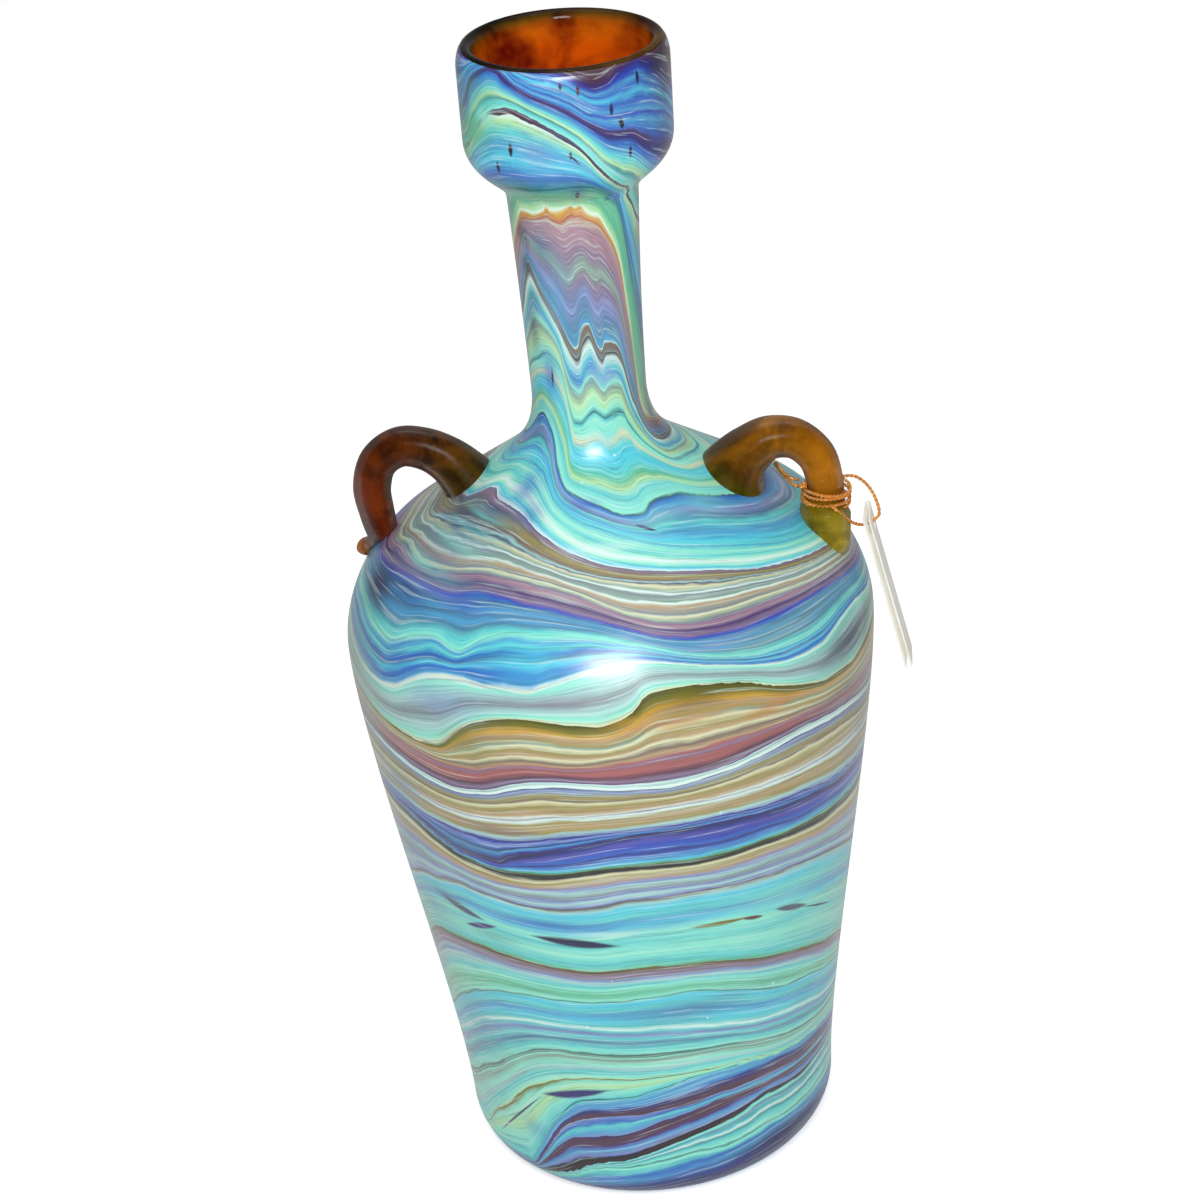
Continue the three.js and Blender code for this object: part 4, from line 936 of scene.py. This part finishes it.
def folded_card(name):
    """The card's middle line is a hairpin: leaf, half circle at the fold, leaf. It is carried along the
    tag's length, with rows pushed aside in rings round the hole so that both leaves have a round one."""
    leaf = np.linspace(0, 1, 60)
    fold = np.linspace(0, np.pi, 13)[1:-1]
    half = TAG_WIDTH / 2
    open_, tight = (TAG_OPENING + TAG_CARD) / 2, (TAG_FOLD + TAG_CARD) / 2
    turn_at = half - tight - TAG_CARD / 2
    leaf_y = -half + (turn_at + half) * leaf
    leaf_x = open_ + (tight - open_) * leaf + LEAF_BOW * np.sin(np.pi * leaf)
    x = np.concatenate([leaf_x, tight * np.cos(fold), -leaf_x[::-1]])
    y = np.concatenate([leaf_y, turn_at + tight * np.sin(fold), leaf_y[::-1]])
    z = np.linspace(TAG_HOLE_FROM_TOP, TAG_HOLE_FROM_TOP - TAG_LENGTH, TAG_ROWS)
    spread_out = (TAG_ROWS, len(x))
    rows = np.stack([np.broadcast_to(x, spread_out), np.broadcast_to(y, spread_out),
                     np.broadcast_to(z[:, None], spread_out)], -1).copy()
    away = np.hypot(rows[..., 1], rows[..., 2])
    pushed = TAG_HOLE_RADIUS + (HOLE_REACH - TAG_HOLE_RADIUS) * away / HOLE_REACH
    scale = np.where(away < HOLE_REACH, pushed / np.maximum(away, 1e-6), 1.0)
    rows[..., 1] *= scale
    rows[..., 2] *= scale
    i, j = np.meshgrid(np.arange(TAG_ROWS - 1), np.arange(len(x) - 1), indexing="ij")
    corner = i * len(x) + j
    faces = np.stack([corner, corner + len(x), corner + len(x) + 1, corner + 1], -1)
    middle = np.stack([away[:-1, :-1], away[1:, :-1], away[1:, 1:], away[:-1, 1:]], -1)
    faces = faces[middle.max(-1) > 0.36]  # the faces at the hole's middle go
    cos, sin = np.cos(TAG_LEAN), np.sin(TAG_LEAN)
    lean = np.array([[cos, 0, -sin], [0, 1, 0], [sin, 0, cos]])
    spots = rows.reshape(-1, 3) @ lean.T * MM + HOLE_AT
    used = np.unique(faces)
    renumber = np.zeros(len(spots), int)
    renumber[used] = np.arange(len(used))
    mesh = bpy.data.meshes.new(name)
    mesh.from_pydata(spots[used].tolist(), [], renumber[faces].tolist())
    mesh.polygons.foreach_set("use_smooth", np.ones(len(mesh.polygons), bool))
    piece = bpy.data.objects.new(name, mesh)
    bpy.context.scene.collection.objects.link(piece)
    leaf_depth = piece.modifiers.new("card", "SOLIDIFY")
    leaf_depth.thickness = TAG_CARD * MM
    leaf_depth.offset = 0
    leaf_depth.use_even_offset = True
    return piece


def white_card():
    """Uncoated card: warm white, with a fine felt of fibres, and a faint painted glow from emission that
    makes it read brighter.
    """
    made, tree, glow = shader("tag_card")
    place = placed(tree)
    felt = clouds(tree, place, 1400, 4)
    colour = ramp(tree, clouds(tree, place, 90, 2), [(0.3, tone(240, 238, 228)), (0.7, tone(250, 249, 243))])
    colour = blended(tree, sums(tree, "MULTIPLY", felt, 0.18), colour, tone(196, 190, 172))
    finished(tree, glow, colour, sums(tree, "MULTIPLY_ADD", felt, 0.15, 0.7), felt, 0.3, 0.00005)
    # Painted glow: the card gives off a little light of its own colour, though it is no lamp.
    glow.inputs["Emission Color"].default_value = tone(250, 249, 243)
    glow.inputs["Emission Strength"].default_value = 0.13
    return made


tag = folded_card("folded_card_tag")
tag.data.materials.append(white_card())
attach(tag, "tag")
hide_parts("hang_tag")

# ------------------------------------------------------------------ table and light
# A pale table top that sweeps up behind the vase, a small soft light over the front, and a wide weak
# one overhead.


def sweep():
    """A floor that turns up into a wall: flat, then a quarter circle of 0.5 m, then upright."""
    bend = np.linspace(0, np.pi / 2, 24)
    y = np.concatenate([[-2.5], 1.1 + 0.5 * np.sin(bend), [1.6]])
    z = np.concatenate([[0], 0.5 * (1 - np.cos(bend)), [2.6]])
    x = np.array([-2.5, 2.5])
    grid = np.stack([np.broadcast_to(x, (len(y), 2)), np.broadcast_to(y[:, None], (len(y), 2)),
                     np.broadcast_to(z[:, None], (len(y), 2))], -1)
    k = np.arange(len(y) - 1)[:, None] * 2
    mesh = bpy.data.meshes.new("table_sweep")
    mesh.from_pydata(grid.reshape(-1, 3).tolist(), [], (k + np.array([0, 1, 3, 2])).tolist())
    mesh.polygons.foreach_set("use_smooth", np.ones(len(mesh.polygons), bool))
    piece = bpy.data.objects.new("table_sweep", mesh)
    bpy.context.scene.collection.objects.link(piece)
    made, tree, glow = shader("pale_table")
    glow.inputs["Base Color"].default_value = tone(240, 240, 238)
    glow.inputs["Roughness"].default_value = 0.7
    glow.inputs["Emission Color"].default_value = (1, 1, 1, 1)
    seen = node(tree, "ShaderNodeLightPath").outputs["Is Camera Ray"]
    tree.links.new(sums(tree, "MULTIPLY", seen, 0.62), glow.inputs["Emission Strength"])
    mesh.materials.append(made)
    return piece


sweep()


def soft_light(name, at, size, power):
    """A rectangle of light at a place, facing the vase."""
    light = bpy.data.lights.new(name, "AREA")
    light.shape = "RECTANGLE"
    light.size, light.size_y = size
    light.energy = power
    lamp = bpy.data.objects.new(name, light)
    lamp.location = at
    lamp.rotation_euler = (AIM - Vector(at)).to_track_quat("-Z", "Y").to_euler()
    bpy.context.scene.collection.objects.link(lamp)


soft_light("soft_front", (0.075, -0.62, 0.60), (0.26, 0.18), 4.4)
soft_light("soft_overhead", (0.0, 0.2, 1.5), (1.2, 1.2), 5)
daylight = bpy.data.worlds.new("daylight")
daylight.use_nodes = True
daylight.node_tree.nodes["Background"].inputs[0].default_value = (0.96, 0.98, 1.0, 1)
daylight.node_tree.nodes["Background"].inputs[1].default_value = 0.24
bpy.context.scene.world = daylight
bpy.context.scene.view_settings.view_transform = "Standard"
